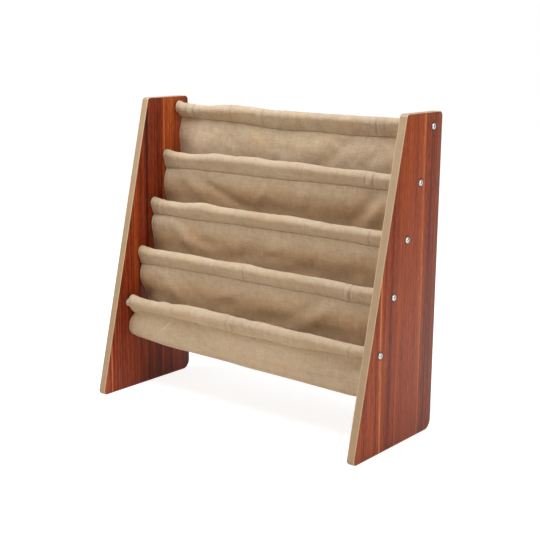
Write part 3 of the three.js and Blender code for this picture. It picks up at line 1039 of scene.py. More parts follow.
def bell(away, width):
    """1 in the middle, falling softly to 0 about two widths away."""
    return np.exp(-(away / width) ** 2)


def followed(points, blur=LINE_BLUR):
    """A soft line over the columns through points that are given in millimetres."""
    places, values = np.array(points).T * mm
    shifts = np.linspace(-1, 1, 11)[1:-1]
    lines = [np.interp(columns + shift * blur, places, values) for shift in shifts]
    return np.average(lines, axis=0, weights=1 - abs(shifts))


def ways_from_seam(count, length):
    """Shares of the way from a seam, close together in the first millimetres beside it."""
    close = SEAM_ROWS / length
    further = np.linspace(close[-1], 1, count + 2 - len(close))
    return np.concatenate([close[:-1], further])[None, :]


def wavy(across, along, pitch, kind, n):
    """Smooth hills and dips from -1 to 1, about one pitch apart, over a grid of places."""
    across, along = np.broadcast_arrays(across, along)
    start = NOISE_STARTS[kind] * n
    flat = [noise.noise((a / pitch, b / pitch, start)) for a, b in zip(across.flat, along.flat)]
    return NOISE_GAIN * np.array(flat).reshape(across.shape)


print("rows beside a seam, in mm from it:", (SEAM_ROWS / mm).round(1).tolist())

# %% [markdown]
# A seam is the line that both layers share under a rod. It is not quite straight, because the
# sewing wandered and thread tension draws it up here and there. Its height is a soft line
# through points read from the photograph, in millimetres across the cloth and below the rod's
# axis. Near its ends it is pulled inwards, which gives the cloth its notched outline. All pieces
# read the same seam, so they meet exactly.

# %% Seams under the rods
PLY_GAP = 0.5 * mm
SEAM_PUFF = 0.75 * mm
SEAM_PUFF_REACH = 7 * mm
SEAM_GROOVE = 1.3 * mm
SEAM_WAVE = 0.35 * mm
SEAM_WAVE_PITCH = 22 * mm
SEAM_DROPS = [
    [(-288, 17.0), (-255, 16.3), (-215, 18.4), (-135, 19.8), (-95, 23.0), (-55, 26.8), (-15, 27.8),
     (60, 25.6), (120, 27.3), (170, 27.2), (205, 24.8), (288, 27.0)],
    [(-288, 23.8), (-250, 21.2), (-200, 20.0), (-120, 20.6), (25, 20.8), (80, 18.9), (288, 18.5)],
    [(-288, 17.6), (-250, 17.4), (-190, 18.6), (-130, 18.0), (-90, 16.4), (160, 15.8), (210, 17.8),
     (288, 20.6)],
    [(-288, 20.2), (-240, 18.6), (-190, 17.8), (-80, 16.6), (85, 19.0), (135, 18.2), (190, 19.2),
     (288, 22.0)],
    [(-288, 16.6), (-272, 15.2), (-252, 10.2), (-201, 9.2), (-170, 9.8), (-138, 10.6), (-105, 11.6),
     (-22, 14.2), (20, 15.6), (60, 13.8), (90, 15.0), (117, 17.2), (150, 16.0), (176, 13.4),
     (226, 11.4), (245, 11.6), (265, 10.4), (288, 10.0)],
]
SEAM_SET_BACK = [5.5 * mm, 0, 0, 0, 0]
SEAM_PULL = {"left": [5, 1, 0.5, 1, 15], "right": [5, 3, 4, 2, 9]}
SEAM_PULL_REACH = 32 * mm


def seam_drop(n):
    """How far below rod n's axis the seam lies, column by column."""
    waves = SEAM_WAVE * wavy(columns, 0, SEAM_WAVE_PITCH, "seam", n)
    return followed(SEAM_DROPS[n - 1]) + waves


def puffed(away):
    """How far the cloth swells out beside a seam, whose thread draws the layers together."""
    return SEAM_PUFF * (1 - bell(away, SEAM_GROOVE)) * bell(away, SEAM_PUFF_REACH)


def pulled_in(pulls, n):
    """How far each column is pulled towards the middle at rod n, with its sign."""
    reach = 1 - eased(from_edge / SEAM_PULL_REACH)
    left, right = pulls["left"][n - 1] * mm, pulls["right"][n - 1] * mm
    return np.where(columns < 0, left, -right) * reach


for n in range(1, ROD_COUNT + 1):
    print(f"seam {n} lies {seam_drop(n).mean() / mm:.1f} mm below its rod's axis on average")

# %% [markdown]
# A sleeve hangs on its rod like a drop: round over the top, with two nearly straight sides that
# run down to the seam. It was sewn wider than the rod, so in places it stands up to 9 mm clear
# of it, and at both ends the stiff hem flares. Points read from the photograph give its upper
# outline above the axis. The rest of each column is plain geometry: an arc about a centre above
# the axis, and on each side a straight line from the seam that touches the arc. The highest
# sleeve's outline was read closely enough to need no bumps of noise.

# %% Outline of a sleeve
SIDE_ROWS = 10
ARC_ROWS = 14
SIDE_LENGTH = 20 * mm
SLEEVE_CLEARANCE = 0.1 * mm
TURNED_END_GAP = 1.4 * mm
TOP_BUMPS = 0.45 * mm
TOP_BUMP_PITCH = 19 * mm
SLEEVE_TOPS = [
    [(-288, 15.4), (-281, 12.2), (-264, 11.2), (-242, 9.3), (-205, 9.0), (-178, 12.6),
     (-152, 13.6), (-98, 12.8), (-72, 10.2), (-52, 9.0), (180, 9.3), (230, 9.8), (288, 12.5)],
    [(-288, 14.4), (-264, 10.6), (-215, 9.6), (-188, 12.0), (-165, 15.6), (-110, 14.2), (-60, 15.8),
     (-15, 13.4), (45, 14.4), (90, 12.2), (145, 10.4), (190, 11.6), (235, 9.5), (288, 12.0)],
    [(-288, 15.4), (-264, 11.8), (-205, 11.6), (-170, 16.4), (-150, 17.0), (-115, 13.6), (0, 12.8),
     (50, 14.4), (100, 12.6), (145, 10.1), (200, 10.7), (245, 9.3), (288, 12.0)],
    [(-288, 16.0), (-264, 12.8), (-200, 13.8), (-145, 14.4), (-95, 12.3), (-15, 14.6), (30, 12.0),
     (180, 12.1), (230, 9.4), (288, 12.0)],
    [(-288, 17.6), (-275, 15.8), (-255, 13.4), (-215, 13.2), (-197, 15.8), (-176, 14.4), (-157, 17.0),
     (-140, 18.2), (-100, 18.2), (-55, 16.6), (-36, 17.0), (-16, 14.4), (4, 15.4), (22, 14.0),
     (45, 15.8), (85, 14.2), (105, 12.7), (120, 12.3), (158, 13.0), (185, 12.2), (216, 10.9),
     (256, 9.8), (288, 12.0)],
]


def sleeve_outline(n, hang):
    """Sleeve n's smooth outline about its axis, from its rear seam over to its front seam: Y, Z
    and the angle at which each point faces. Hang says how far below the axis its seam lies."""
    bumps = TOP_BUMPS * wavy(columns, 0, TOP_BUMP_PITCH, "sleeve_top", n) * (n > 1)
    top = followed(SLEEVE_TOPS[n - 1], OUTLINE_BLUR) + bumps - CLOTH_THICKNESS / 2
    hold = rod_radius + CLOTH_THICKNESS / 2 + SLEEVE_CLEARANCE
    centre = np.clip((top - hold) / (1 + hold / hang), 0, None)
    radius = np.maximum(top - centre, hold)
    back = SEAM_SET_BACK[n - 1]
    rear_ply = (TURNED_END_GAP if n == 1 else PLY_GAP) + back
    front_ply = (TURNED_END_GAP if n == ROD_COUNT else PLY_GAP) - back
    way = ways_from_seam(SIDE_ROWS, SIDE_LENGTH)
    height = hang + centre
    sides = []
    for ply in (rear_ply, front_ply):
        tangent = np.arctan2(-height, ply) + np.arccos(radius / np.hypot(ply, height))
        touch_y = radius * np.cos(tangent)
        touch_z = centre + radius * np.sin(tangent)
        side_y = ply + (touch_y - ply)[:, None] * way
        side_z = -hang[:, None] + (touch_z + hang)[:, None] * way
        sides.append((side_y, side_z, np.broadcast_to(tangent[:, None], side_y.shape)))
    (rear_side, rear_z, rear_turn), (front_side, front_z, front_turn) = sides
    front_side = -front_side
    front_turn = np.pi - front_turn
    share = np.linspace(0, 1, ARC_ROWS + 1)[None, 1:-1]
    turn = rear_turn[:, -1:] * (1 - share) + front_turn[:, -1:] * share
    arc_y = radius[:, None] * np.cos(turn)
    arc_z = centre[:, None] + radius[:, None] * np.sin(turn)
    y = np.hstack([rear_side, arc_y, front_side[:, ::-1]])
    z = np.hstack([rear_z, arc_z, front_z[:, ::-1]])
    turn = np.hstack([rear_turn, turn, front_turn[:, ::-1]])
    return y, z, turn


for n, tops in enumerate(SLEEVE_TOPS, 1):
    print(f"sleeve {n} rises up to {max(top for _, top in tops)} mm above its rod's axis")

# %% [markdown]
# Where the sewing gathered the cloth, it stands off the rod in raised stretches, and narrow
# creases are pinched into them. Each has a place across the cloth, a width and a height in
# millimetres, and a crease's height is below 0. They lean a little and run out at the seam. Above
# the rod's axis the cloth can only move outwards. How deep a point lies in a crease is handed
# back as well, for the shade that is painted there.

# %% Folds and creases of a sleeve
SLEEVE_BELLY = 0.9 * mm
BELLY_TO_ONE = 27 / 4
SLEEVE_FOLDS = 0.6 * mm
SLEEVE_FOLD_PITCH = 26 * mm
SLEEVE_FOLD_STRETCH = 30 * mm
PLEAT_LEAN = 0.12
PLEAT_ON_ROD = 0.3
CREASE_SHADE_WIDTH = 1.3 * mm
DEEPEST_CREASE = 3.6
ROD_PULL = {"left": [1.5, 0, 0, 0, 8], "right": [1, 2, 1.5, 2, 5]}
SLEEVE_PLEATS = [
    [(-256, 24, 3.0), (-146, 13, 2.2), (-66, 12, 2.4), (-10, 34, 1.6), (200, 16, 2.4), (262, 12, 1.6),
     (-263, 2.3, -3.8), (-244, 2.3, -3.6), (-146, 2.2, -2.7), (-66, 2.2, -3.0), (-40, 3.2, -0.9),
     (-24, 3.0, -1.0), (-4, 3.2, -1.1), (16, 3.2, -0.8), (195, 2.3, -3.1), (213, 2.6, -1.3),
     (262, 2.4, -1.8)],
    [(-252, 12, 1.4), (208, 16, 2.2), (247, 8, 1.0), (-252, 2.4, -1.4), (199, 2.3, -2.4),
     (216, 2.3, -2.8), (247, 2.3, -1.6)],
    [(-266, 14, 2.4), (-205, 8, 1.0), (236, 10, 1.6), (-272, 2.2, -3.0), (-259, 2.2, -3.0),
     (-205, 2.4, -1.3), (236, 2.4, -2.0)],
    [(-268, 8, 1.4), (-19, 10, 1.8), (218, 14, 2.0), (-268, 2.4, -1.8), (-19, 2.3, -2.4),
     (223, 2.3, -2.8), (210, 2.3, -1.6)],
    [(-166, 12, 1.2), (-20, 14, 1.8), (250, 12, 1.6), (-166, 3, -1.5), (-28, 2.3, -2.2),
     (-12, 2.3, -1.8), (250, 2.4, -2.0)],
]


def sleeve_rows(n):
    """Places of sleeve n's grid about its axis, from its rear seam over to its front seam, and how
    deep in a crease each of them is, from 0 to 1."""
    hang = seam_drop(n)
    y, z, turn = sleeve_outline(n, hang)
    low = np.clip(-z / hang[:, None], 0, 1)
    free = np.clip(2.2 * low, 0, 1) * (1 - low ** 6)
    above_seam = 1 - low ** 4
    waves = wavy(
        columns[:, None], low * SLEEVE_FOLD_STRETCH, SLEEVE_FOLD_PITCH, "sleeve_folds", n)
    folds = SLEEVE_FOLDS * waves * free
    creased = np.zeros(z.shape)
    for at, width, height in SLEEVE_PLEATS[n - 1]:
        away = columns[:, None] - at * mm - PLEAT_LEAN * z
        strength = PLEAT_ON_ROD + (1 - PLEAT_ON_ROD) * free
        folds = folds + height * mm * bell(away, width * mm) * strength * above_seam
        # How deep in a crease, for the shade painted there.
        depth = np.clip(-height / DEEPEST_CREASE, 0, 1)
        creased = np.maximum(creased, depth * bell(away, CREASE_SHADE_WIDTH) * above_seam)
    belly = BELLY_TO_ONE * low ** 2 * (1 - low) * SLEEVE_BELLY
    folds = np.where(low > 0, folds, np.clip(folds, 0, None)) + belly
    folds = folds + puffed(z + hang[:, None]) * (low > 0.2)
    y = y + folds * np.cos(turn)
    z = z + folds * np.sin(turn)
    near_seam = low ** 1.5
    x = columns[:, None] + pulled_in(ROD_PULL, n)[:, None] * (1 - near_seam)
    x = x + pulled_in(SEAM_PULL, n)[:, None] * near_seam
    return x, y, z, creased


print("raised stretches and creases, sleeve by sleeve:", [len(pleats) for pleats in SLEEVE_PLEATS])

# %% [markdown]
# The first sleeve's rear layer and the last sleeve's front layer are the ends of the strip, and
# they are turned under. A few more rows go on from the seam, round the cut edge and back up
# inside. Each is given by how far outside and above the seam it lies, in millimetres.

# %% Turned-under ends
END_TURN_ROWS = [(-0.9, 5), (-0.9, 2), (-0.9, -1.2), (-0.45, -2.1), (0, -1.2)]


def turned_end(x, y, z, creased, at_front):
    """Adds the rows of a turned-under end to the front or the rear of a sleeve's grid."""
    edge = slice(-1, None) if at_front else slice(0, 1)
    outwards = -1 if at_front else 1
    across, up = np.array(END_TURN_ROWS).T * mm
    added = [
        np.repeat(x[:, edge], len(END_TURN_ROWS), axis=1),
        y[:, edge] + outwards * across,
        z[:, edge] + up,
        np.zeros((len(columns), len(END_TURN_ROWS))),
    ]
    grids = zip((x, y, z, creased), added)
    if at_front:
        return [np.hstack([grid, rows[:, ::-1]]) for grid, rows in grids]
    return [np.hstack([rows, grid]) for grid, rows in grids]


print("rows in a turned-under end:", len(END_TURN_ROWS))

# %% [markdown]
# A pocket hangs from two seams. Its back wall is the long one, its front wall the short one, and
# canvas is stiff enough to keep the floor round. Nothing pulls the walls flat, so they belly out
# or in on their way down, and differently at their two ends, where the hems show it. Points for
# these bellies hold a share of the way down and a bulge in millimetres. Points for the floors
# hold a place across the cloth and a drop below the next rod.

# %% Outlines of the pockets
BACK_ROWS = 50
FLOOR_ROWS = 16
FRONT_ROWS = 23
FLOOR_RADIUS = 13 * mm
FLOOR_DROPS = [
    [(-290, 72), (-262, 77), (-222, 80), (-120, 82), (60, 84), (240, 85), (290, 81)],
    [(-290, 72), (-262, 76), (-222, 79), (-60, 82), (120, 83), (240, 85), (290, 81)],
    [(-290, 72), (-262, 77), (-222, 79), (-90, 81), (90, 84), (240, 85), (290, 81)],
    [(-290, 68), (-281, 72), (-272, 73.4), (-250, 74.4), (-222, 76.6), (-205, 78.2), (-169, 79.2),
     (-126, 80), (-35, 81.4), (5, 83.2), (100, 84.8), (240, 88.4), (290, 87.4)],
]
BACK_WALL_PROFILES = [
    [(0, 0), (0.1, 3.4), (0.2, 6.4), (0.32, 8.4), (0.45, 8.6), (0.7, 6), (1, 4)],
    [(0, 0), (0.1, 0.4), (0.2, -0.9), (0.32, -3.4), (0.45, -6.4), (0.7, -10), (1, -11)],
    [(0, 0), (0.1, 0.5), (0.2, -0.4), (0.32, -2.5), (0.45, -5.0), (0.7, -8), (1, -9)],
    [(0, 0), (0.1, 0.5), (0.2, 0), (0.32, -1.6), (0.45, -3.6), (0.7, -6.5), (1, -7.5)],
]
LEFT_END_PROFILES = [
    [(0, 0), (0.16, -2), (0.3, -5), (0.43, -8.4), (1, -6)],
    [(0, 0), (0.05, 3), (0.1, 6), (0.2, 9), (0.3, 10), (0.43, 8.5), (0.7, 6), (1, 3)],
    [(0, 0), (0.05, 8), (0.13, 8.6), (0.21, 7.6), (0.39, 5.5), (0.7, 3), (1, 2)],
    [(0, 0), (0.05, 5), (0.13, 5.5), (0.21, 5.8), (0.27, 5.2), (0.33, 2), (0.42, -5), (1, -8)],
]
RIGHT_END_PROFILES = [
    [(0, 0), (0.3, -2), (1, -2)],
    [(0, 0), (0.2, -1), (0.45, -4), (1, -4)],
    [(0, 0), (0.2, -1), (0.45, -4), (1, -4)],
    [(0, 0), (0.2, -2), (0.45, -6), (1, -6)],
]
FRONT_WALL_PROFILE = [(0, 0), (0.3, 1.6), (0.7, 2.6), (1, 2.4)]
PROFILE_BLUR = (-0.08, -0.04, 0, 0.04, 0.08)
PROFILE_STARTS = 0.06


def profile(points, way):
    """A wall's forward bulge along its way down, eased between points given in millimetres."""
    places, values = np.array(points).T
    soft = [np.interp(way + shift, places, values) for shift in PROFILE_BLUR]
    return np.mean(soft, axis=0) * eased(way / PROFILE_STARTS) * mm


for n, drops in enumerate(FLOOR_DROPS, 1):
    print(f"pocket {n} hangs up to {max(drop for _, drop in drops)} mm below rod {n + 1}")

# %% [markdown]
# Soft lobes and drag folds lie in the walls and run down from the seams. They are placed where
# the photograph shows them, and each has a place across the cloth and below the rod, a length, a
# width, a lean in degrees and a height. Small puckers sit close under the seams, in patches that
# grow stronger towards the right.

# %% Folds in the pockets' walls
PUCKER_HEIGHT = 0.5 * mm
PUCKER_PITCH = 10 * mm
PUCKER_REACH = 9 * mm
PUCKER_PATCH_PITCH = 60 * mm
PUCKER_SHIFT = 3
PUCKER_SHIFT_PITCH = 35 * mm
PUCKERS_GROW_OVER = 600 * mm
BACK_WALL_FOLDS = [
    [(104, 64, 52, 12, -37, -2.6), (60, 56, 30, 14, -37, 1.2), (-150, 56, 40, 13, 34, -1.2),
     (-95, 50, 30, 16, 60, 1.2), (190, 66, 30, 10, -30, -1.2), (-20, 66, 34, 9, 10, -1.0)],
    [(-148, 61, 58, 11, 21, -3.6), (-205, 66, 30, 15, 40, 2.4), (-250, 60, 34, 14, 70, -2.6),
     (-60, 88, 70, 22, -4, -3.4), (-50, 62, 26, 10, -50, 1.5), (55, 56, 30, 14, -60, 1.9),
     (200, 50, 46, 12, -45, -3.2), (216, 68, 40, 13, -45, 2.6), (140, 96, 46, 30, -8, -4.4)],
    [(-207, 60, 50, 15, 47, 4.4), (-140, 62, 26, 10, 0, -2.0), (-166, 74, 30, 12, 24, 2.0),
     (-60, 76, 44, 14, -20, -2.4), (10, 70, 24, 10, -4, -1.6), (28, 52, 30, 12, -10, 1.6),
     (95, 82, 36, 16, -10, -2.4), (130, 56, 30, 12, 80, 1.8), (215, 48, 26, 10, 80, 2.0),
     (195, 78, 40, 14, -24, -2.0)],
    [(-207, 62, 46, 15, 45, 4.0), (-160, 52, 40, 10, 36, -1.4), (-70, 72, 30, 12, -10, -1.6),
     (-60, 52, 26, 10, -20, 1.4), (40, 84, 40, 16, -6, -2.6), (150, 60, 54, 13, -34, 2.4),
     (124, 48, 44, 11, -34, -1.4), (190, 84, 40, 18, -14, -1.4), (226, 60, 34, 7, 84, -1.0)],
]
FRONT_WALL_FOLDS = [
    (-270, 27, 10, 5, 60, -3.6), (60, 58, 120, 16, 2, 0.8), (254, 32, 34, 13, -10, -4.6),
    (200, 52, 60, 10, -12, 1.2),
]


def lobes(folds, across, drop):
    """Height of all the folds of a wall at places across it and below the rod's axis."""
    total = np.zeros(np.broadcast(across, drop).shape)
    for at, below, length, width, lean, height in folds:
        sideways = across - at * mm
        downwards = drop - below * mm
        cosine, sine = math.cos(math.radians(lean)), math.sin(math.radians(lean))
        along = sideways * cosine + downwards * sine
        over = downwards * cosine - sideways * sine
        total += height * mm * bell(along, length * mm) * bell(over, width * mm)
    return total


def puckers(n, drop_from_seam):
    """Small upright ripples under seam n that fade away from it."""
    patches = wavy(columns, 0, PUCKER_PATCH_PITCH, "pucker_patches", n)
    patchy = np.clip(0.5 + patches + columns / PUCKERS_GROW_OVER, 0.15, 1.5)
    shift = PUCKER_SHIFT * wavy(columns, 0, PUCKER_SHIFT_PITCH, "pucker_places", n)
    height = PUCKER_HEIGHT * patchy * np.sin(2 * np.pi * columns / PUCKER_PITCH + shift)
    return height[:, None] * bell(drop_from_seam, PUCKER_REACH)


print("folds in the back walls:", [len(folds) for folds in BACK_WALL_FOLDS])
print("folds in the last front wall:", len(FRONT_WALL_FOLDS))

# %% [markdown]
# A back wall adds its belly, slack, folds, fine creases and puckers to the plane under its seam.
# They all fade in below the seam, and the folds fade out above the floor. A front wall hangs just
# behind the next pocket's back wall and takes its shape from it, so the two can't cut each other.
# Only the last front wall hangs free, and has a belly and folds of its own.

# %% Walls of a pocket
WALL_FOOT_BELOW_ROD = 60 * mm
FRONT_WALL_HEIGHT = 48 * mm
BACK_WALL_SLACK = 1.1 * mm
SLACK_PITCH = 95 * mm
CREASE_HEIGHT = 0.3 * mm
CREASE_PITCH = 15 * mm
FOLDS_END = 0.74
END_REACH = 60 * mm
LAYER_GAP = 1.4 * mm
LAYER_GAP_CLOSES = 4 * mm


def back_wall(n, z):
    """Y of pocket n's back wall at places across it and at heights z."""
    rod = rod_axes[n - 1]
    top = (rod.z - seam_drop(n))[:, None]
    foot = rod_axes[n].z - WALL_FOOT_BELOW_ROD
    way = np.clip((top - z) / (top - foot), 0, 1)
    across = columns[:, None]
    fade = 1 - eased((way - FOLDS_END) / (1 - FOLDS_END))
    slack = BACK_WALL_SLACK * wavy(columns, 0, SLACK_PITCH, "pocket_slack", n)[:, None] * eased(way)
    folds = lobes(BACK_WALL_FOLDS[n - 1], across, rod.z - z) * eased(way / 0.12) * fade
    creases = CREASE_HEIGHT * wavy(across, z, CREASE_PITCH, "pocket_creases", n)
    creases = creases * eased(way / 0.1) * fade
    left_end = profile(LEFT_END_PROFILES[n - 1], way)
    right_end = profile(RIGHT_END_PROFILES[n - 1], way)
    ends = (1 - eased(from_edge / END_REACH))[:, None]
    belly = np.where(across < 0, left_end, right_end) * ends
    ripples = puckers(n, top - z) * eased(way / 0.03)
    forward = profile(BACK_WALL_PROFILES[n - 1], way) + slack + folds + creases + belly + ripples
    return rod.y + SEAM_SET_BACK[n - 1] - PLY_GAP - forward - puffed(top - z)


def front_wall(n, z):
    """Y of pocket n's front wall. It lies behind the next back wall, or hangs free at the last."""
    rod = rod_axes[n]
    top = (rod.z - seam_drop(n + 1))[:, None]
    if n < len(BACK_WALL_FOLDS):
        near_seam = bell(top - z, LAYER_GAP_CLOSES)
        return back_wall(n + 1, z) + LAYER_GAP + (2 * PLY_GAP - LAYER_GAP) * near_seam
    way = np.clip((top - z) / FRONT_WALL_HEIGHT, 0, 1)
    hold = eased(way / 0.15) * (1 - eased((way - 0.8) / 0.2))
    forward = profile(FRONT_WALL_PROFILE, way) + puckers(n + 1, top - z) * eased(way / 0.05)
    forward = forward + lobes(FRONT_WALL_FOLDS, columns[:, None], rod.z - z) * hold
    return rod.y + SEAM_SET_BACK[n] + PLY_GAP - forward - puffed(top - z)


# %% [markdown]
# A pocket's grid runs down its back wall, round its floor on a half ellipse, and up its front
# wall. The floor is drawn in a little at its two ends, and so are the walls beside their seams,
# which are pulled inwards. The lowest pocket's left corner hangs in a little further. How deep a
# point lies in the pocket is handed back as well, and the canvas paints a warm shade there. The
# outside of the lowest pocket faces the light, so there the depth goes back to 0 round the floor.

# %% Grid of a pocket
BACK_WALL_LENGTH = 142 * mm
FRONT_WALL_LENGTH = 44 * mm
BACK_HOLD_REACH = 24 * mm
FRONT_HOLD_REACH = 14 * mm
FLOOR_PULL = 2 * mm
FLOOR_PULL_REACH = 10 * mm
LAST_CORNER = {"from": 56 * mm, "to": 84 * mm, "reach": 38 * mm, "inwards": 7 * mm}
DEPTH_STARTS = 22 * mm
DEPTH_REACH = 48 * mm
DEPTH_SHARES = [0.25, 1, 1, 1]


def wall_places(n):
    """Y and Z down pocket n's back wall, round its floor and up its front wall, and how high each
    row lies above the floor, as a share of the floor's radius."""
    top_back = (rod_axes[n - 1].z - seam_drop(n))[:, None]
    top_front = (rod_axes[n].z - seam_drop(n + 1))[:, None]
    drop = followed(FLOOR_DROPS[n - 1], OUTLINE_BLUR)[:, None]
    floor_z = rod_axes[n].z - drop + CLOTH_THICKNESS / 2
    centre_z = floor_z + FLOOR_RADIUS
    back_z = top_back - (top_back - centre_z) * ways_from_seam(BACK_ROWS, BACK_WALL_LENGTH)
    front_z = top_front - (top_front - centre_z) * ways_from_seam(FRONT_ROWS, FRONT_WALL_LENGTH)
    back_y = back_wall(n, back_z)
    front_y = front_wall(n, front_z)
    angle = np.pi * np.linspace(0, 1, FLOOR_ROWS + 1)[None, 1:-1]
    back_low, front_low = back_y[:, -1:], front_y[:, -1:]
    floor_y = (back_low + front_low) / 2 + (back_low - front_low) / 2 * np.cos(angle)
    round_z = centre_z - FLOOR_RADIUS * np.sin(angle)
    y = np.hstack([back_y, floor_y, front_y[:, ::-1]])
    z = np.hstack([back_z, round_z, front_z[:, ::-1]])
    return y, z, np.clip((z - floor_z) / FLOOR_RADIUS, 0, 1)


def pocket_rows(n):
    """Places of pocket n's grid, and how deep in the pocket each lies, from 0 to 1."""
    y, z, off_floor = wall_places(n)
    row = np.arange(z.shape[1])[None, :]
    is_front = row > BACK_ROWS + FLOOR_ROWS / 2
    inwards = FLOOR_PULL * (1 - eased(off_floor))
    inwards = inwards * (1 - eased(from_edge / FLOOR_PULL_REACH))[:, None]
    back_away = (rod_axes[n - 1].z - seam_drop(n))[:, None] - z
    front_away = (rod_axes[n].z - seam_drop(n + 1))[:, None] - z
    back_hold = bell(back_away, BACK_HOLD_REACH) * pulled_in(SEAM_PULL, n)[:, None]
    front_hold = bell(front_away, FRONT_HOLD_REACH) * pulled_in(SEAM_PULL, n + 1)[:, None]
    x = columns[:, None] - np.sign(columns)[:, None] * inwards
    x = x + np.where(is_front, front_hold, back_hold)
    below_rod = rod_axes[n - 1].z - z
    # How strongly the warm shade is painted, growing with the depth below the rod.
    deep = DEPTH_SHARES[n - 1] * eased((below_rod - DEPTH_STARTS) / DEPTH_REACH)
    if n == len(BACK_WALL_FOLDS):
        deep = deep * (1 - eased((row - BACK_ROWS) / FLOOR_ROWS))
        start, end = LAST_CORNER["from"], LAST_CORNER["to"]
        low_down = eased((below_rod - start) / (end - start)) * ~is_front
        at_left = (1 - eased(from_edge / LAST_CORNER["reach"])) * (columns < 0)
        x = x + LAST_CORNER["inwards"] * low_down * at_left[:, None]
    return x, y, z, deep


print("rows of a pocket:", BACK_ROWS + FLOOR_ROWS + FRONT_ROWS)

# %% [markdown]
# The side edges of the cloth are hemmed. A hem is a few more columns that go round the edge and
# come back underneath. The doubled cloth stands a little proud, with a shallow groove where the
# hem is sewn. The lines that the stitches will follow are read from the finished grid.

# %% Hems
HEM_COLUMNS = [8, 6, 4, 2, 1]
HEM_LAYER_GAP = 0.9 * mm
HEM_TURN_BULGE = 0.3 * mm
HEM_RAISE = 0.55 * mm
HEM_STEP = 2 * mm
HEM_GROOVE = 0.6 * mm
HEM_GROOVE_WIDTH = 0.8 * mm
HEM_STITCH_COLUMN = list(EDGE_COLUMNS).index(HEM_STITCH_FROM_EDGE)
FOLDED_UNDER = len(HEM_COLUMNS) + 1
NO_LENGTH = 1e-12


def unit(vectors):
    """The same directions at length 1."""
    return vectors / np.maximum(np.linalg.norm(vectors, axis=-1, keepdims=True), NO_LENGTH)


def directions(points):
    """The direction that the good side of the cloth faces, at each point of a grid."""
    across = np.gradient(points, axis=0)
    along = np.gradient(points, axis=1)
    return unit(np.cross(along, across))


def hemmed(points, cloth_map):
    """Raises the hem, sinks its stitch line, and adds the columns that are folded under."""
    facing = directions(points)
    raised = HEM_RAISE * (1 - eased((from_edge - HEM_WIDTH + HEM_STEP / 2) / HEM_STEP))
    groove = HEM_GROOVE * bell(from_edge - HEM_STITCH_FROM_EDGE, HEM_GROOVE_WIDTH)
    points = points + facing * (raised - groove)[:, None, None]
    sides = []
    for edge, inward in ((0, 1), (-1, -1)):
        picked = [edge + inward * k for k in HEM_COLUMNS]
        under = points[picked] - facing[picked] * HEM_LAYER_GAP
        outwards = unit(points[edge] - points[edge + inward])
        turn = points[edge] + outwards * HEM_TURN_BULGE - facing[edge] * HEM_LAYER_GAP / 2
        fold = np.concatenate([under, turn[None]])
        fold_map = np.concatenate([2 * cloth_map[[edge]] - cloth_map[picked], cloth_map[[edge]]])
        sides.append((fold, fold_map) if inward > 0 else (fold[::-1], fold_map[::-1]))
    (left, left_map), (right, right_map) = sides
    return np.concatenate([left, points, right]), np.concatenate([left_map, cloth_map, right_map])


def with_hems(values):
    """Carries a grid of values on over the columns that are folded under."""
    return np.pad(values, ((FOLDED_UNDER, FOLDED_UNDER), (0, 0)), mode="edge")


def hem_lines(points):
    """Places and directions along the two hem stitch lines, on the cloth's good side."""
    facing = directions(points)
    first = FOLDED_UNDER + HEM_STITCH_COLUMN
    return [(points[column], facing[column]) for column in (first, -1 - first)]


print("columns with both hems:", len(columns) + 2 * FOLDED_UNDER)

# %% [markdown]
# A grid becomes cloth when its points get faces, a map in metres, a mark for the painted shade
# near the stitches and in the creases, and a mark for the depth in a pocket, where a warm shade is
# painted. Last, the sheet gets its thickness. The map lets the weave follow the cloth, and the
# marks are read by the canvas finish.

# %% From grid to cloth
LINE_SHADE_WIDTH = 0.9 * mm


def grid_faces(column_count, row_count):
    """The four corners of every face of a grid, by the numbers of its points."""
    number = np.arange(column_count * row_count).reshape(column_count, row_count)
    corners = [number[:-1, :-1], number[:-1, 1:], number[1:, 1:], number[1:, :-1]]
    return np.stack(corners, axis=2).reshape(-1, 4)


def new_piece(name, points, faces):
    """An object at the origin with a mesh of these points and faces."""
    mesh = bpy.data.meshes.new(name)
    mesh.from_pydata(points.reshape(-1, 3).tolist(), [], faces)
    piece = bpy.data.objects.new(name, mesh)
    bpy.context.scene.collection.objects.link(piece)
    return piece


def stitch_nearness(cloth_map, along, seams):
    """1 at the seams' rows and along the hem stitches, where shade is painted, 0 away from them."""
    from_seam = np.min([abs(along - along[row]) for row in seams], axis=0)
    from_hem_stitch = CLOTH_HALF_WIDTH - abs(cloth_map[:, :, 0]) - HEM_STITCH_FROM_EDGE
    return np.maximum(
        bell(from_seam, LINE_SHADE_WIDTH)[None, :], bell(from_hem_stitch, LINE_SHADE_WIDTH))


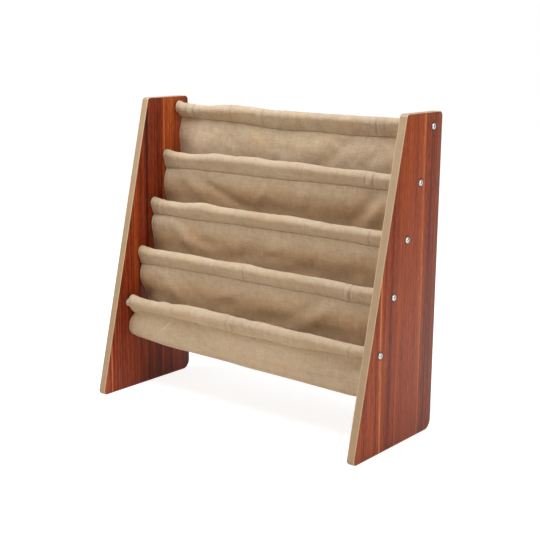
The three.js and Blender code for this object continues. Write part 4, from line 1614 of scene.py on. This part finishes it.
def cloth_piece(name, x, y, z, strip_start, seams, creased=0, deep=0):
    """Makes one piece of the sling. Returns it with its flat size, the place along the strip where
    it ends, and its hem lines."""
    points = np.stack(np.broadcast_arrays(x, y, z), axis=2)
    steps = np.linalg.norm(np.diff(points.mean(axis=0), axis=0), axis=1)
    along = strip_start + np.concatenate([[0], np.cumsum(steps)])
    cloth_map = np.stack(np.broadcast_arrays(columns[:, None], along[None, :]), axis=2)
    points, cloth_map = hemmed(points, cloth_map)
    line_shade = stitch_nearness(cloth_map, along, seams)
    crease_shade = with_hems(np.broadcast_to(creased, y.shape))
    # Marks for painted shade: along the stitches, in the creases, and deep in the pockets.
    marks = {
        LINE_SHADE_MARK: np.maximum(line_shade, crease_shade),
        POCKET_SHADE_MARK: with_hems(np.broadcast_to(deep, y.shape)),
    }
    faces = grid_faces(*points.shape[:2])
    piece = new_piece(name, points, faces.tolist())
    uv = piece.data.uv_layers.new(name=CLOTH_MAP)
    uv.data.foreach_set("uv", cloth_map.reshape(-1, 2)[faces.ravel()].astype(np.float32).ravel())
    for mark_name, values in marks.items():
        attribute = piece.data.attributes.new(mark_name, "FLOAT", "POINT")
        attribute.data.foreach_set("value", values.astype(np.float32).ravel())
    apply_modifier(piece, "SOLIDIFY", thickness=CLOTH_THICKNESS, offset=0, use_even_offset=False)
    round_off(piece, SOFT_SMOOTHING)
    flat = (2 * (CLOTH_HALF_WIDTH + HEM_WIDTH), float(along[-1] - along[0]))
    return piece, flat, float(along[-1]), hem_lines(points)


# %% [markdown]
# Every seam and hem is sewn with a straight lockstitch, which shows as a row of short threads that
# dip into the cloth at both ends. A stitch is a bent six-sided thread of five rings, so that
# thousands of them stay light. The rows sit on the cloth's good side, on the back of each seam,
# and on the back of the pockets' hems.

# %% Stitches
STITCH_PITCH = 3.2 * mm
STITCH_LENGTH = 2.5 * mm
STITCH_DIP = 0.3 * mm
THREAD_RADIUS = 0.27 * mm
THREAD_LIFT = 0.1 * mm
THREAD_SIDES = 6
STITCH_RINGS = np.array([(-1, 0.5), (-0.75, 0.95), (0, 1), (0.75, 0.95), (1, 0.5)])


def at_lengths(lengths, wanted, values):
    """Each column of values, read at the wanted lengths along a line."""
    return np.stack([np.interp(wanted, lengths, column) for column in values.T], axis=1)


def stitch_row(places, facing, lift):
    """Corner places of all stitches along one line, lifted off it in the facing direction."""
    lengths = np.concatenate([[0], np.cumsum(np.linalg.norm(np.diff(places, axis=0), axis=1))])
    middles = np.arange(STITCH_PITCH / 2, lengths[-1], STITCH_PITCH)
    ahead = at_lengths(lengths, middles + STITCH_LENGTH / 2, places)
    behind = at_lengths(lengths, middles - STITCH_LENGTH / 2, places)
    forward = unit(ahead - behind)
    up = at_lengths(lengths, middles, facing)
    up = unit(up - forward * (up * forward).sum(axis=1, keepdims=True))
    sideways = np.cross(forward, up)
    turn = 2 * np.pi * np.arange(THREAD_SIDES) / THREAD_SIDES
    way, size = STITCH_RINGS.T
    rise = THREAD_RADIUS * size[:, None] * np.cos(turn) - STITCH_DIP * (way ** 2)[:, None]
    aside = THREAD_RADIUS * size[:, None] * np.sin(turn)
    run = np.broadcast_to(way[:, None] * STITCH_LENGTH / 2, rise.shape)
    middle = (ahead + behind) / 2 + up * lift
    parts = ((run, forward), (rise, up), (aside, sideways))
    return middle[:, None, None] + sum(
        amount[None, :, :, None] * vector[:, None, None] for amount, vector in parts)


def stitches(name, rows):
    """One piece with all the stitches of these rows."""
    corners = np.concatenate(rows)
    rings = len(STITCH_RINGS)
    number = np.arange(rings * THREAD_SIDES).reshape(rings, THREAD_SIDES)
    beside = np.roll(number, -1, axis=1)
    sides = np.stack([number[:-1], beside[:-1], beside[1:], number[1:]], axis=2).reshape(-1, 4)
    pattern = sides.tolist() + [number[0, ::-1].tolist(), number[-1].tolist()]
    faces = [[start * number.size + corner for corner in face]
             for start in range(len(corners)) for face in pattern]
    piece = new_piece(name, corners, faces)
    round_off(piece, SOFT_SMOOTHING)
    return dress(piece, thread, "canvas")


def stitched(name, hems, seam_lines, both_sides):
    """The stitches of one piece of cloth: on its hems, and on its seams if it has any."""
    lift = CLOTH_THICKNESS / 2 + THREAD_LIFT
    rows = [stitch_row(places, facing, lift) for places, facing in hems + seam_lines]
    if both_sides:
        under = HEM_LAYER_GAP + lift
        rows += [stitch_row(places, -facing, under) for places, facing in hems]
    return stitches(name, rows)


# %% [markdown]
# The strip is made piece by piece, sleeve, pocket, sleeve and so on, because the frame has a
# node for each. The map's length runs on from one piece to the next, so the weave does too.

# %% The sling
def seam_line(x, y, z, row, outwards):
    """Places and directions of a seam's stitches on one outer side of a sleeve."""
    inner = abs(columns) < CLOTH_HALF_WIDTH - HEM_WIDTH
    places = np.stack([x[inner, row], y[inner, row], z[inner, row]], axis=1)
    return places, np.broadcast_to(np.array([0.0, outwards, 0.0]), places.shape)


def make_sleeve(n, strip_start):
    """Makes and sews sleeve n. Returns it, its flat size, its stitches and where it ends."""
    x, y, z, creased = sleeve_rows(n)
    seams = [0, -1]
    if n == 1:
        x, y, z, creased = turned_end(x, y, z, creased, at_front=False)
        seams[0] += len(END_TURN_ROWS)
    if n == ROD_COUNT:
        x, y, z, creased = turned_end(x, y, z, creased, at_front=True)
        seams[1] -= len(END_TURN_ROWS)
    y = rod_axes[n - 1].y + y
    z = rod_axes[n - 1].z + z
    sleeve, flat, strip_end, hems = cloth_piece(
        f"canvas_sleeve_{n}", x, y, z, strip_start, seams, creased=creased)
    dress(sleeve, canvas, "canvas", f"sleeve_{n}")
    seam_lines = [seam_line(x, y, z, seams[0], 1), seam_line(x, y, z, seams[1], -1)]
    sewing = stitched(f"stitches_sleeve_{n}", hems, seam_lines, both_sides=False)
    return sleeve, flat, sewing, strip_end


def make_pocket(n, strip_start):
    """Makes and hems pocket n. Returns it, its flat size, its stitches and where it ends."""
    x, y, z, deep = pocket_rows(n)
    pocket, flat, strip_end, hems = cloth_piece(
        f"canvas_pocket_{n}", x, y, z, strip_start, [0, -1], deep=deep)
    dress(pocket, canvas, "canvas", f"pocket_{n}")
    sewing = stitched(f"stitches_pocket_{n}", hems, [], both_sides=True)
    return pocket, flat, sewing, strip_end


strip_end = 0
for n in range(1, ROD_COUNT + 1):
    piece, flat, sewing, strip_end = make_sleeve(n, strip_end)
    if n < ROD_COUNT:
        piece, flat, sewing, strip_end = make_pocket(n, strip_end)
print("strip length:", round(strip_end, 3), "m")
